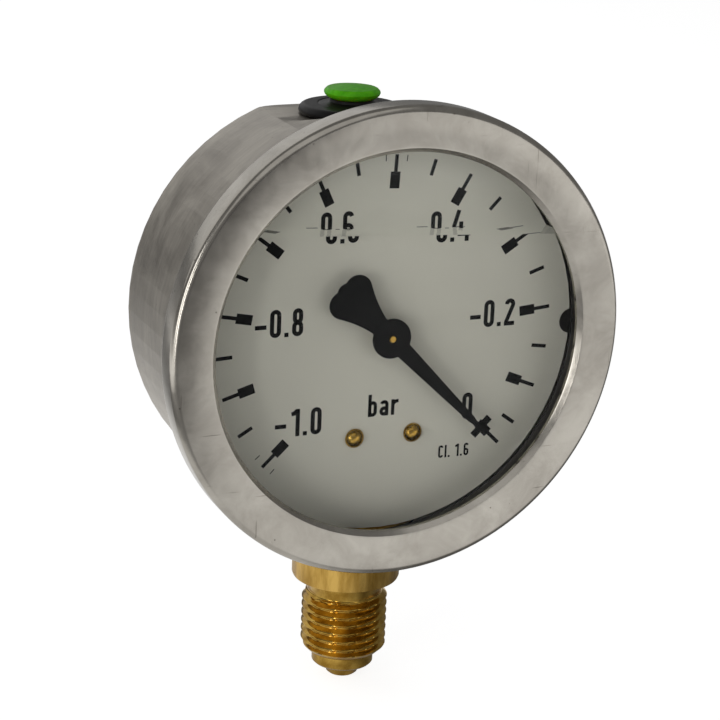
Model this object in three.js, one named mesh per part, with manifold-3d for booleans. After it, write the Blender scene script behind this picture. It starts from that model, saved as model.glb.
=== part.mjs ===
// A liquid-filled 63 mm vacuum gauge with a bottom connection, as an assembly of its real pieces.
// Millimetres, +Z up along the connection's axis, +X to the right and -Y towards the reader.
// The origin is the centre of the spigot's sealing face, at the bottom of the thread.
import * as THREE from "three";
import { mergeVertices } from "three/addons/utils/BufferGeometryUtils.js";
import Module from "manifold-3d";

// ---- Driving dimensions ------------------------------------------------------------------------

// Fits: gap at faces that rest on each other, at fixed round fits, and at running round fits.
const SEAT_GAP = 0.1;
const FIT_GAP = 0.1;
const RUN_GAP = 0.15;
const EYE_GAP = 0.45; // the link's upper eye, where the linkage is opened

// Facets around a large, medium, small and tiny circle.
const LARGE = 64;
const MEDIUM = 36;
const SMALL = 20;
const TINY = 12;

// The head: a drawn case closed by a crimped ring. Depths count back from the ring's front face.
const CENTRE_HEIGHT = 56; // sealing face to dial centre
const FRONT_Y = -17.7; // the ring's front face
const CASE_RADIUS = 31.5;
const CASE_WALL = 0.6;
const CASE_BACK_Y = 13.3;
const CASE_EDGE_RADIUS = 2.0;
const FLANGE_WIDTH = 2.0;
const FLANGE_THICKNESS = 0.5;
const RING_WALL = 0.7;
const RING_DEPTH = 4.8;
const RING_REAR_LIP = 0.5;
const RING_SHOULDER = 1.0;
const LIP_RADIUS = 27.9; // the window's visible opening
const LIP_SLOPE_WIDTH = 0.8;
const LIP_SLOPE_DEPTH = 0.6;
const WINDOW_THICKNESS = 2.0;
const GASKET_SLEEVE_WALL = 1.1;
const GASKET_SLEEVE_LENGTH = 4.7;

// Dial and pointer.
const DIAL_FACE_Y = -9.0;
const DIAL_THICKNESS = 0.4;
const DIAL_EDGE_GAP = 0.2;
const DIAL_NOTCH_RADIUS = 1.95;
const DIAL_SCREW_X = 4.6;
const DIAL_SCREW_SPACING = 3.56; // below the movement's pillars
const SCREW_SHANK_RADIUS = 0.75;
const DIAL_SCREW_HEAD_RADIUS = 1.47;
const DIAL_SCREW_HEAD_HEIGHT = 0.85;
const ZERO_ANGLE = -45; // degrees from +X, where the scale's zero stands
const POINTER_Y = -11.4;
const POINTER_THICKNESS = 0.4;
const POINTER_HUB_RADIUS = 2.95;
const POINTER_LENGTH = 22.6;
const POINTER_TIP_LENGTH = 3.6;
const POINTER_TAIL_LENGTH = 11.4;
const LIQUID_LEVEL = 16.0; // above the dial centre
const LIQUID_THICKNESS = 1.1;

// Gear train.
const GEAR_MODULE = 0.22;
const PINION_TEETH = 14;
const GEAR_RATIO = 10;
const PRESSURE_ANGLE = THREE.MathUtils.degToRad(20);
const BACKLASH = 0.05;
const SECTOR_THICKNESS = 0.7;
const SECTOR_Y = -5.35;
const TAIL_CLEARANCE = 2.96; // from the link's lower eye down to the stem's flange
const TAIL_ANGLE = -76.5; // degrees from +X at rest
const ARBOR_RADIUS = 0.6;
const ARBOR_TIP_RADIUS = 0.45;
const PIVOT_RADIUS = 0.4;

// Movement plates.
const PLATE_THICKNESS = 0.8;
const FRONT_PLATE_Y = -7.4;
const REAR_PLATE_Y = -3.2;
const PILLAR_X = 5.8;
const PILLAR_RISE = 5.4; // above the sector's pivot
const PILLAR_RADIUS = 1.3;
const MOVEMENT_SCREW_X = 3.4;
const MOVEMENT_SCREW_RISE = 3.7; // above the sector's pivot

// Bourdon tube.
const TUBE_RADIUS = 22.0;
const TUBE_WIDTH = 7.0;
const TUBE_HEIGHT = 2.4;
const TUBE_WALL = 0.4;
const TUBE_Y = 1.6;
const TUBE_TIP_ANGLE = -38; // degrees from +X

// Connection: a G 1/4 B thread with spigot and centring pilot.
const PILOT_RADIUS = 2.45;
const PILOT_LENGTH = 2.0;
const SPIGOT_RADIUS = 4.75;
const SPIGOT_HEIGHT = 2.3;
const THREAD_RADIUS = 6.579;
const THREAD_ROOT_RADIUS = 5.72;
const THREAD_TOP = 12.0;
const COLLAR_RADIUS = 8.25;
const COLLAR_BOTTOM = 14.5;
const BORE_RADIUS = 1.8;
const BOSS_RADIUS = 9.9; // the flat seat drawn out of the case round the stem
const BOSS_DEPTH = 0.1; // below the case's lowest point
const STEM_FLANGE_RADIUS = 9.1;
const STEM_FLANGE_THICKNESS = 2.0;
const SEAL_THICKNESS = 0.8;
const BLOCK_HALF_WIDTH = 6.0;
const BLOCK_REAR_Y = 6.0;
const BLOCK_TOP_DROP = 10.0;
const CLIP_THICKNESS = 0.9;
const CLIP_WIDTH = 2.0;
const CLIP_GROOVE_DEPTH = 0.85;

// Filling plug and its vent cap.
const PLUG_Y = 4.5;
const PLUG_SEAT_DEPTH = 2.36; // how far the case is pressed in under the plug
const PLUG_SEAT_RADIUS = 12.0;
const PLUG_RADIUS = 7.8;
const PLUG_HEIGHT = 1.45;
const PLUG_BOSS_HEIGHT = 0.7; // a raised rim under the cap
const PLUG_BOSS_RADIUS = 3.3;
const PLUG_NECK_RADIUS = 6.4;
const PLUG_BULB_SHARE = 0.55; // of the room between the plug's neck and the case's back
const VENT_STEM_RADIUS = 1.3;
const VENT_STEM_LENGTH = 4.0;
const CAP_RADIUS = 4.15;
const CAP_HEIGHT = 2.0;

// ---- Values worked out from them ---------------------------------------------------------------

const RING_RADIUS = CASE_RADIUS + FLANGE_WIDTH + RUN_GAP * 2 + RING_WALL;
const RING_REAR_Y = FRONT_Y + RING_DEPTH;
const FLANGE_REAR_Y = RING_REAR_Y - RING_REAR_LIP - SEAT_GAP / 2;
const FLANGE_FRONT_Y = FLANGE_REAR_Y - FLANGE_THICKNESS;
const WINDOW_FRONT_Y = FRONT_Y + LIP_SLOPE_DEPTH + RING_WALL + SEAT_GAP;
const WINDOW_REAR_Y = WINDOW_FRONT_Y + WINDOW_THICKNESS;
const CASE_BORE = CASE_RADIUS - CASE_WALL;
const GASKET_OUTER = CASE_BORE - FIT_GAP * 2;
const GASKET_BORE = GASKET_OUTER - GASKET_SLEEVE_WALL;
const DIAL_RADIUS = GASKET_BORE - DIAL_EDGE_GAP;
const GEAR_DISTANCE = (GEAR_MODULE * PINION_TEETH * (1 + GEAR_RATIO)) / 2;
const DIAL_REAR_Y = DIAL_FACE_Y + DIAL_THICKNESS;
const FRONT_PLATE_FRONT = FRONT_PLATE_Y - PLATE_THICKNESS / 2;
const FRONT_PLATE_REAR = FRONT_PLATE_Y + PLATE_THICKNESS / 2;
const REAR_PLATE_FRONT = REAR_PLATE_Y - PLATE_THICKNESS / 2;
const REAR_PLATE_REAR = REAR_PLATE_Y + PLATE_THICKNESS / 2;
const BLOCK_FRONT_Y = REAR_PLATE_REAR + SEAT_GAP;
const LINK_Y = SECTOR_Y - SECTOR_THICKNESS - SEAT_GAP;
const LINK_THICKNESS = 0.5;
const LINK_PIN_RADIUS = 0.4;
const LINK_EYE_RADIUS = LINK_PIN_RADIUS * 3;
const PILLAR_DROP = GEAR_DISTANCE - PILLAR_RISE;
const DIAL_SCREW_DROP = PILLAR_DROP + DIAL_SCREW_SPACING;
const MOVEMENT_SCREW_DROP = GEAR_DISTANCE - MOVEMENT_SCREW_RISE;
const STEM_SEAT_Z = CENTRE_HEIGHT - CASE_RADIUS - BOSS_DEPTH;
const STEM_FLANGE_Z = STEM_SEAT_Z + CASE_WALL + SEAL_THICKNESS + SEAT_GAP;
const STEM_FLANGE_TOP = STEM_FLANGE_Z + STEM_FLANGE_THICKNESS;
const BLOCK_TOP_Z = CENTRE_HEIGHT - BLOCK_TOP_DROP;
const TAIL_LENGTH =
  CENTRE_HEIGHT - GEAR_DISTANCE - STEM_FLANGE_TOP - LINK_EYE_RADIUS - TAIL_CLEARANCE;
const PLUG_SEAT = CASE_RADIUS - PLUG_SEAT_DEPTH;
const PLUG_BULB_ROOM = CASE_BACK_Y - CASE_WALL - FIT_GAP * 4 - PLUG_Y;
const PLUG_BULB_RADIUS = PLUG_NECK_RADIUS + (PLUG_BULB_ROOM - PLUG_NECK_RADIUS) * PLUG_BULB_SHARE;

// ---- Materials ---------------------------------------------------------------------------------

function material(colour, roughness, metalness) {
  return new THREE.MeshStandardMaterial({ color: colour, roughness, metalness });
}

const STEEL = material(0xa9a7a2, 0.35, 1);
const BRASS = material(0xb48a3c, 0.3, 1);
const BRONZE = material(0x9a6b3a, 0.35, 1);
const BLACK_PAINT = material(0x141414, 0.7, 0);
const DIAL_WHITE = material(0xe2e1dc, 0.6, 0);
const BLACK_RUBBER = material(0x1c1a19, 0.8, 0);
const GREEN_PLASTIC = material(0x3fae1c, 0.45, 0);
const CLEAR_PLASTIC = material(0xf4f6f5, 0.05, 0);
const GLYCERINE = material(0xf2f0e2, 0.05, 0);

// ---- Solids and booleans -----------------------------------------------------------------------

const manifold = await Module();
manifold.setup();

// A closed geometry as a solid, turned to face outwards.
function solid(geometry) {
  const bare = geometry.index ? geometry.toNonIndexed() : geometry.clone();
  bare.deleteAttribute("normal");
  bare.deleteAttribute("uv");
  const merged = mergeVertices(bare, 1e-5);
  const vertProperties = merged.attributes.position.array;
  const corners = new Uint32Array(merged.index.array);
  const build = () => {
    const mesh = new manifold.Mesh({ numProp: 3, vertProperties, triVerts: corners });
    return new manifold.Manifold(mesh);
  };
  const made = build();
  if (made.volume() >= 0) return made;
  for (let i = 0; i < corners.length; i += 3) {
    [corners[i + 1], corners[i + 2]] = [corners[i + 2], corners[i + 1]];
  }
  return build();
}

function geometryOf(shape) {
  const mesh = shape.getMesh();
  const geometry = new THREE.BufferGeometry();
  geometry.setAttribute("position", new THREE.BufferAttribute(mesh.vertProperties, 3));
  geometry.setIndex(new THREE.BufferAttribute(mesh.triVerts, 1));
  geometry.computeVertexNormals();
  return geometry;
}

function joined(...solids) {
  return solids.reduce((whole, next) => whole.add(next));
}

function cut(body, ...tools) {
  return tools.reduce((rest, tool) => rest.subtract(tool), body);
}

// A closed profile of [radius, y] points turned about the dial's axis.
function turned(profile, facets) {
  const points = [...profile, profile[0]].map(([radius, y]) => new THREE.Vector2(radius, y));
  return new THREE.LatheGeometry(points, facets);
}

// The same, about an axis through (x, z) of the head.
function turnedAt(x, z, profile, facets) {
  return solid(turned(profile, facets).translate(x, 0, z));
}

// A closed profile of [radius, z] points turned about a vertical axis at depth y.
function stood(profile, facets, y = 0) {
  return solid(turned(profile, facets).rotateX(Math.PI / 2).translate(0, y, 0));
}

function disc(x, z, radius, yFront, yRear, facets) {
  return turnedAt(x, z, [[0, yFront], [radius, yFront], [radius, yRear], [0, yRear]], facets);
}

function sleeve(x, z, bore, radius, yFront, yRear, facets) {
  return turnedAt(x, z, [[bore, yFront], [radius, yFront], [radius, yRear], [bore, yRear]], facets);
}

// An outline in the dial's plane, as a plate from yFront back to yRear.
function plate(shape, yFront, yRear, curveSegments = TINY) {
  const settings = { depth: yRear - yFront, bevelEnabled: false, curveSegments };
  const geometry = new THREE.ExtrudeGeometry(shape, settings);
  return solid(geometry.rotateX(Math.PI / 2).translate(0, yRear, 0));
}

function block(width, depth, height, x, y, z) {
  return solid(new THREE.BoxGeometry(width, depth, height).translate(x, y, z));
}

function roundBar(from, to, halfWidth) {
  const direction = to.clone().sub(from);
  const angle = direction.angle();
  const shape = new THREE.Shape();
  shape.absarc(from.x, from.y, halfWidth, angle + Math.PI / 2, angle - Math.PI / 2);
  shape.absarc(to.x, to.y, halfWidth, angle - Math.PI / 2, angle + Math.PI / 2);
  return shape;
}

function polar(radius, degrees) {
  const angle = THREE.MathUtils.degToRad(degrees);
  return new THREE.Vector2(radius * Math.cos(angle), radius * Math.sin(angle));
}

// Points on an arc of a profile, from one angle to another about [radius, y].
function arcPoints([radius, y], size, fromDegrees, toDegrees, steps) {
  return Array.from({ length: steps + 1 }, (_, i) => {
    const corner = polar(size, fromDegrees + ((toDegrees - fromDegrees) * i) / steps);
    return [radius + corner.x, y + corner.y];
  });
}

// ---- Assembly ----------------------------------------------------------------------------------

const group = new THREE.Group();
const head = new THREE.Group();
head.position.z = CENTRE_HEIGHT;
group.add(head);

function place(parent, name, shape, look) {
  const mesh = new THREE.Mesh(geometryOf(shape), look);
  mesh.name = name;
  parent.add(mesh);
}

// ---- Case, ring, window and gasket -------------------------------------------------------------

const CORNER_STEPS = 4;

function caseShell() {
  const edge = CASE_EDGE_RADIUS;
  const outside = [
    [0, FLANGE_FRONT_Y],
    [CASE_RADIUS + FLANGE_WIDTH, FLANGE_FRONT_Y],
    [CASE_RADIUS + FLANGE_WIDTH, FLANGE_REAR_Y],
    [CASE_RADIUS, FLANGE_REAR_Y],
    ...arcPoints([CASE_RADIUS - edge, CASE_BACK_Y - edge], edge, 0, 90, CORNER_STEPS),
    [0, CASE_BACK_Y],
  ];
  const inner = edge - CASE_WALL;
  const mouth = FLANGE_FRONT_Y - CASE_WALL;
  const inside = [
    [0, mouth],
    [CASE_BORE, mouth],
    ...arcPoints([CASE_RADIUS - edge, CASE_BACK_Y - edge], inner, 0, 90, CORNER_STEPS),
    [0, CASE_BACK_Y - CASE_WALL],
  ];
  const above = CASE_RADIUS + 1;
  const seat = STEM_SEAT_Z - CENTRE_HEIGHT;
  const column = (radius, from, to, y) =>
    stood([[0, from], [radius, from], [radius, to], [0, to]], MEDIUM, y);
  const behind = CASE_BACK_Y + 1 - PLUG_Y;
  // Round in front of the plug, and straight back from there through the rear edge.
  const pressed = (halfWidth, from) => joined(
    column(halfWidth, from, above, PLUG_Y),
    block(halfWidth * 2, behind, above - from, 0, PLUG_Y + behind / 2, (above + from) / 2),
  );
  const body = joined(
    cut(turnedAt(0, 0, outside, LARGE), pressed(PLUG_SEAT_RADIUS, PLUG_SEAT)),
    column(BOSS_RADIUS, seat, 0, 0),
  );
  const hollow = joined(
    cut(turnedAt(0, 0, inside, LARGE), pressed(PLUG_SEAT_RADIUS + CASE_WALL, PLUG_SEAT - CASE_WALL)),
    column(BOSS_RADIUS - CASE_WALL, seat + CASE_WALL, 0, 0),
  );
  return cut(
    body,
    hollow,
    column(PLUG_NECK_RADIUS + FIT_GAP, 0, above, PLUG_Y),
    column(COLLAR_RADIUS + FIT_GAP, -above, 0, 0),
  );
}

// The ring's section is a channel: rear lip, side, rounded shoulder, face and a lip sloping inwards.
function bezelRing() {
  const insideRadius = RING_RADIUS - RING_WALL;
  const shoulder = RING_SHOULDER;
  const slopeRadius = LIP_RADIUS + LIP_SLOPE_WIDTH;
  return turnedAt(0, 0, [
    [LIP_RADIUS, FRONT_Y + LIP_SLOPE_DEPTH],
    [slopeRadius, FRONT_Y],
    ...arcPoints([RING_RADIUS - shoulder, FRONT_Y + shoulder], shoulder, -90, 0, CORNER_STEPS),
    ...arcPoints([insideRadius, RING_REAR_Y - RING_WALL], RING_WALL, 0, 90, CORNER_STEPS - 2),
    [CASE_RADIUS + FIT_GAP * 2, RING_REAR_Y],
    [CASE_RADIUS + FIT_GAP * 2, RING_REAR_Y - RING_REAR_LIP],
    [insideRadius, RING_REAR_Y - RING_REAR_LIP],
    [insideRadius, FRONT_Y + RING_WALL],
    [slopeRadius, FRONT_Y + RING_WALL],
    [LIP_RADIUS, FRONT_Y + LIP_SLOPE_DEPTH + RING_WALL],
  ], LARGE);
}

function windowDisc() {
  const radius = RING_RADIUS - RING_WALL - RUN_GAP * 2;
  return disc(0, 0, radius, WINDOW_FRONT_Y, WINDOW_REAR_Y, LARGE);
}

// A flat leg between window and flange, and a sleeve that lines the case down to the dial.
function windowGasket() {
  const legFront = WINDOW_REAR_Y + SEAT_GAP / 2;
  const legRear = FLANGE_FRONT_Y - SEAT_GAP / 2;
  const sleeveEnd = legFront + GASKET_SLEEVE_LENGTH;
  return turnedAt(0, 0, [
    [GASKET_BORE, legFront],
    [CASE_RADIUS + FLANGE_WIDTH, legFront],
    [CASE_RADIUS + FLANGE_WIDTH, legRear],
    [GASKET_OUTER, legRear],
    [GASKET_OUTER, sleeveEnd],
    [GASKET_BORE, sleeveEnd],
  ], LARGE);
}

place(head, "case", caseShell(), STEEL);
place(head, "bezel_ring", bezelRing(), STEEL);
place(head, "window", windowDisc(), CLEAR_PLASTIC);
place(head, "window_gasket", windowGasket(), BLACK_RUBBER);

// The liquid in front of the pointer: a round slice cut off at the filling level.
function liquidSlice() {
  const front = WINDOW_REAR_Y + SEAT_GAP;
  const slice = disc(0, 0, DIAL_RADIUS, front, front + LIQUID_THICKNESS, LARGE);
  const size = RING_RADIUS * 2;
  return cut(slice, block(size, size, size, 0, 0, LIQUID_LEVEL + size / 2));
}

place(head, "glycerine_fill", liquidSlice(), GLYCERINE);

// ---- Dial --------------------------------------------------------------------------------------

function dialPlate() {
  const through = (x, z, radius) => disc(x, z, radius, DIAL_FACE_Y - 1, DIAL_REAR_Y + 1, SMALL);
  const notchX = DIAL_RADIUS + DIAL_NOTCH_RADIUS / 6;
  return cut(
    disc(0, 0, DIAL_RADIUS, DIAL_FACE_Y, DIAL_REAR_Y, LARGE),
    through(0, 0, ARBOR_RADIUS * 2),
    through(-DIAL_SCREW_X, -DIAL_SCREW_DROP, SCREW_SHANK_RADIUS + RUN_GAP),
    through(DIAL_SCREW_X, -DIAL_SCREW_DROP, SCREW_SHANK_RADIUS + RUN_GAP),
    through(-notchX, 0, DIAL_NOTCH_RADIUS),
    through(notchX, 0, DIAL_NOTCH_RADIUS),
  );
}

function dialScrew(x) {
  const seat = DIAL_FACE_Y - SEAT_GAP;
  const width = DIAL_SCREW_HEAD_RADIUS;
  const height = DIAL_SCREW_HEAD_HEIGHT;
  return turnedAt(x, -DIAL_SCREW_DROP, [
    [0, seat - height],
    [width * 0.5, seat - height * 0.88],
    [width * 0.85, seat - height * 0.55],
    [width, seat - height * 0.2],
    [width, seat],
    [SCREW_SHANK_RADIUS, seat],
    [SCREW_SHANK_RADIUS, FRONT_PLATE_REAR],
    [0, FRONT_PLATE_REAR],
  ], SMALL);
}

function dialSpacer(x) {
  const bore = SCREW_SHANK_RADIUS + RUN_GAP;
  const front = DIAL_REAR_Y + SEAT_GAP;
  const rear = FRONT_PLATE_FRONT - SEAT_GAP;
  return sleeve(x, -DIAL_SCREW_DROP, bore, bore + 0.7, front, rear, SMALL);
}

place(head, "dial", dialPlate(), DIAL_WHITE);
for (const [side, x] of [["left", -DIAL_SCREW_X], ["right", DIAL_SCREW_X]]) {
  place(head, "dial_screw_" + side, dialScrew(x), BRASS);
  place(head, "dial_spacer_" + side, dialSpacer(x), BRASS);
}

// ---- Pointer -----------------------------------------------------------------------------------

// Drawn along +X from the hub, then turned to the zero mark.
function pointerBlade() {
  const rootWidth = 1.35;
  const endWidth = 0.55;
  const needleWidth = 0.42;
  const bladeEnd = POINTER_LENGTH - POINTER_TIP_LENGTH;
  const blade = new THREE.Shape();
  blade.moveTo(0, -rootWidth);
  blade.lineTo(bladeEnd, -endWidth);
  blade.lineTo(bladeEnd + 0.6, -needleWidth);
  blade.lineTo(POINTER_LENGTH, -needleWidth * 0.8);
  blade.lineTo(POINTER_LENGTH, needleWidth * 0.8);
  blade.lineTo(bladeEnd + 0.6, needleWidth);
  blade.lineTo(bladeEnd, endWidth);
  blade.lineTo(0, rootWidth);
  return blade;
}

// The counterweight flares from the hub into two round lobes, with a shallow bump between them.
function pointerTail(front, rear) {
  const neck = 1.45;
  const waist = 2.0;
  const lobe = 2.05;
  const lobeX = -(POINTER_TAIL_LENGTH - lobe);
  const lobeZ = 1.6;
  const bump = 1.5;
  const bumpX = -(POINTER_TAIL_LENGTH + 0.2 - bump);
  const flank = polar(lobe, 62);
  const flare = new THREE.Shape();
  flare.moveTo(0, -neck);
  flare.lineTo(0, neck);
  flare.lineTo(lobeX * 0.315, neck);
  flare.quadraticCurveTo(lobeX * 0.62, waist, lobeX + flank.x, lobeZ + flank.y);
  flare.lineTo(lobeX, lobeZ);
  flare.lineTo(lobeX, -lobeZ);
  flare.lineTo(lobeX + flank.x, -lobeZ - flank.y);
  flare.quadraticCurveTo(lobeX * 0.62, -waist, lobeX * 0.315, -neck);
  flare.lineTo(0, -neck);
  return joined(
    plate(flare, front, rear),
    disc(lobeX, lobeZ, lobe, front, rear, MEDIUM),
    disc(lobeX, -lobeZ, lobe, front, rear, MEDIUM),
    disc(bumpX, 0, bump, front, rear, MEDIUM),
  );
}

function pointerPlate() {
  const front = POINTER_Y - POINTER_THICKNESS / 2;
  const rear = POINTER_Y + POINTER_THICKNESS / 2;
  const bore = ARBOR_TIP_RADIUS + FIT_GAP;
  const flat = joined(
    plate(pointerBlade(), front, rear),
    pointerTail(front, rear),
    disc(0, 0, POINTER_HUB_RADIUS, front - 0.1, rear, MEDIUM),
  );
  return cut(flat, disc(0, 0, bore, front - 1, rear + 1, SMALL)).rotate([0, -ZERO_ANGLE, 0]);
}

function pointerBush() {
  const front = POINTER_Y + POINTER_THICKNESS / 2 + SEAT_GAP;
  const rear = DIAL_FACE_Y - RUN_GAP * 3;
  return sleeve(0, 0, ARBOR_RADIUS + FIT_GAP, POINTER_HUB_RADIUS / 2, front, rear, SMALL);
}

place(head, "pointer", pointerPlate(), BLACK_PAINT);
place(head, "pointer_bush", pointerBush(), BRASS);

// ---- Gears -------------------------------------------------------------------------------------

const ADDENDUM = 0.8 * GEAR_MODULE;
const DEDENDUM = 1.2 * GEAR_MODULE;
const FLANK_STEPS = 2;

// Outline points of the teeth numbered first to last, on a gear of so many teeth about the origin.
function toothPoints(teeth, first, last, phaseDegrees) {
  const pitch = (GEAR_MODULE * teeth) / 2;
  const base = pitch * Math.cos(PRESSURE_ANGLE);
  const involute = (angle) => Math.tan(angle) - angle;
  const halfAt = (radius) => {
    const angle = Math.acos(Math.min(1, base / radius));
    const atPitch = Math.PI / (2 * teeth) - BACKLASH / 4 / pitch;
    return atPitch + involute(PRESSURE_ANGLE) - involute(angle);
  };
  const foot = pitch - DEDENDUM;
  const start = Math.max(base, foot);
  const tip = pitch + ADDENDUM;
  const flank = Array.from({ length: FLANK_STEPS + 1 }, (_, i) => start + ((tip - start) * i) / FLANK_STEPS);
  const points = [];
  for (let tooth = first; tooth <= last; tooth += 1) {
    const middle = THREE.MathUtils.degToRad(phaseDegrees) + (tooth * 2 * Math.PI) / teeth;
    const at = (radius, angle) => {
      points.push(new THREE.Vector2(radius * Math.cos(angle), radius * Math.sin(angle)));
    };
    at(foot, middle - halfAt(start));
    flank.forEach((radius) => at(radius, middle - halfAt(radius)));
    [...flank].reverse().forEach((radius) => at(radius, middle + halfAt(radius)));
    at(foot, middle + halfAt(start));
  }
  return points;
}

// The pinion is cut on its arbor. A gap between two teeth faces the sector.
function pinionShaft() {
  const teethFront = SECTOR_Y - SECTOR_THICKNESS / 2 - RUN_GAP;
  const teethRear = SECTOR_Y + SECTOR_THICKNESS / 2 + RUN_GAP;
  const phase = -90 + 180 / PINION_TEETH;
  const teeth = new THREE.Shape(toothPoints(PINION_TEETH, 0, PINION_TEETH - 1, phase));
  const shoulder = POINTER_Y + POINTER_THICKNESS / 2 + SEAT_GAP;
  const arbor = turnedAt(0, 0, [
    [0, POINTER_Y - POINTER_THICKNESS * 2],
    [ARBOR_TIP_RADIUS, POINTER_Y - POINTER_THICKNESS * 2],
    [ARBOR_TIP_RADIUS, shoulder],
    [ARBOR_RADIUS, shoulder],
    [ARBOR_RADIUS, REAR_PLATE_FRONT - RUN_GAP],
    [PIVOT_RADIUS, REAR_PLATE_FRONT - RUN_GAP],
    [PIVOT_RADIUS, REAR_PLATE_REAR],
    [0, REAR_PLATE_REAR],
  ], SMALL);
  return joined(plate(teeth, teethFront, teethRear), arbor);
}

const PIVOT = new THREE.Vector2(0, -GEAR_DISTANCE);
const TAIL_PIN = PIVOT.clone().add(polar(TAIL_LENGTH, TAIL_ANGLE));
const SECTOR_SPARE_TEETH = 2;
const POINTER_SWEEP = 270;

// Toothed arc, two spokes, a hub and the tail that the link pulls.
function sectorGear() {
  const teethCount = PINION_TEETH * GEAR_RATIO;
  const swept = Math.ceil((POINTER_SWEEP / 360) * PINION_TEETH);
  const points = toothPoints(teethCount, -SECTOR_SPARE_TEETH, swept + SECTOR_SPARE_TEETH, 90);
  const front = SECTOR_Y - SECTOR_THICKNESS / 2;
  const rear = SECTOR_Y + SECTOR_THICKNESS / 2;
  const wedge = new THREE.Shape([new THREE.Vector2(0, 0), ...points]);
  const pitchAngle = 360 / teethCount;
  const from = 90 - pitchAngle * (SECTOR_SPARE_TEETH - 0.5);
  const to = 90 + pitchAngle * (swept + SECTOR_SPARE_TEETH - 0.5);
  const rim = GEAR_DISTANCE * 0.72;
  const window = new THREE.Shape();
  window.absarc(0, 0, rim, THREE.MathUtils.degToRad(from), THREE.MathUtils.degToRad(to));
  window.absarc(0, 0, rim * 0.45, THREE.MathUtils.degToRad(to - 6), THREE.MathUtils.degToRad(from + 6), true);
  const hubRadius = ARBOR_RADIUS * 3;
  const origin = new THREE.Vector2(0, 0);
  const tailEnd = polar(TAIL_LENGTH, TAIL_ANGLE);
  const flat = joined(
    plate(wedge, front, rear),
    disc(0, 0, hubRadius, front, rear, SMALL),
    plate(roundBar(origin, tailEnd, LINK_PIN_RADIUS * 2.6), front, rear),
  );
  return cut(
    flat,
    plate(window, front - 1, rear + 1),
    disc(0, 0, ARBOR_RADIUS + FIT_GAP, front - 1, rear + 1, SMALL),
    disc(tailEnd.x, tailEnd.y, LINK_PIN_RADIUS + FIT_GAP, front - 1, rear + 1, TINY),
  ).translate([PIVOT.x, 0, PIVOT.y]);
}

function sectorArbor() {
  return turnedAt(PIVOT.x, PIVOT.y, [
    [0, FRONT_PLATE_FRONT],
    [PIVOT_RADIUS, FRONT_PLATE_FRONT],
    [PIVOT_RADIUS, FRONT_PLATE_REAR + RUN_GAP],
    [ARBOR_RADIUS, FRONT_PLATE_REAR + RUN_GAP],
    [ARBOR_RADIUS, REAR_PLATE_FRONT - RUN_GAP],
    [PIVOT_RADIUS, REAR_PLATE_FRONT - RUN_GAP],
    [PIVOT_RADIUS, REAR_PLATE_REAR],
    [0, REAR_PLATE_REAR],
  ], SMALL);
}

place(head, "pinion_shaft", pinionShaft(), BRASS);
place(head, "sector_gear", sectorGear(), BRASS);
place(head, "sector_arbor", sectorArbor(), STEEL);

// ---- Hairspring --------------------------------------------------------------------------------

const SPRING_INNER = 1.6;
const SPRING_OUTER = 4.6;
const SPRING_TURNS = 5;
const SPRING_STRIP = 0.14;
const SPRING_WIDTH = 0.35;
const SPRING_Y = -6.5;
const SPRING_STEPS = 18; // per turn
const STUD_SIZE = 0.8;

// A flat spiral strip from beside the collet out to the stud, which stands on the right.
function hairspring() {
  const steps = SPRING_TURNS * SPRING_STEPS;
  const edge = (offset) =>
    Array.from({ length: steps + 1 }, (_, i) => {
      const radius = SPRING_INNER + ((SPRING_OUTER - SPRING_INNER) * i) / steps + offset;
      return polar(radius, (360 * i) / SPRING_STEPS);
    });
  const outline = [...edge(SPRING_STRIP / 2), ...edge(-SPRING_STRIP / 2).reverse()];
  return plate(new THREE.Shape(outline), SPRING_Y - SPRING_WIDTH / 2, SPRING_Y + SPRING_WIDTH / 2);
}

function springCollet() {
  const bore = ARBOR_RADIUS + FIT_GAP;
  const half = SPRING_WIDTH / 2;
  return sleeve(0, 0, bore, SPRING_INNER - 0.3, SPRING_Y - half, SPRING_Y + half, SMALL);
}

function springStud() {
  const front = FRONT_PLATE_REAR + SEAT_GAP;
  const depth = SPRING_Y + SPRING_WIDTH - front;
  const x = SPRING_OUTER + SPRING_STRIP + STUD_SIZE / 2;
  return block(STUD_SIZE, depth, STUD_SIZE, x, front + depth / 2, 0);
}

place(head, "hairspring", hairspring(), BRONZE);
place(head, "hairspring_collet", springCollet(), BRASS);
place(head, "hairspring_stud", springStud(), BRASS);

// ---- Movement plates, pillars and screws -------------------------------------------------------

// Broad below, where the pillars and screws are, and narrow round the pinion's bearing.
function plateOutline() {
  const wide = PILLAR_X + PILLAR_RADIUS + 0.4;
  const narrow = 5.4;
  const corner = 1.5;
  const bottom = -GEAR_DISTANCE - 3.2;
  const shoulderZ = -PILLAR_DROP + PILLAR_RADIUS + 1.2;
  const shape = new THREE.Shape();
  shape.moveTo(-wide + corner, bottom);
  shape.lineTo(wide - corner, bottom);
  shape.quadraticCurveTo(wide, bottom, wide, bottom + corner);
  shape.lineTo(wide, shoulderZ);
  shape.lineTo(narrow, shoulderZ + 3);
  shape.lineTo(narrow, 0);
  shape.absarc(0, 0, narrow, 0, Math.PI);
  shape.lineTo(-narrow, shoulderZ + 3);
  shape.lineTo(-wide, shoulderZ);
  shape.lineTo(-wide, bottom + corner);
  shape.quadraticCurveTo(-wide, bottom, -wide + corner, bottom);
  return shape;
}

const PLATE_SCREW_RADIUS = 0.6;
const THREAD_FIT = 0.1;

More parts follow.
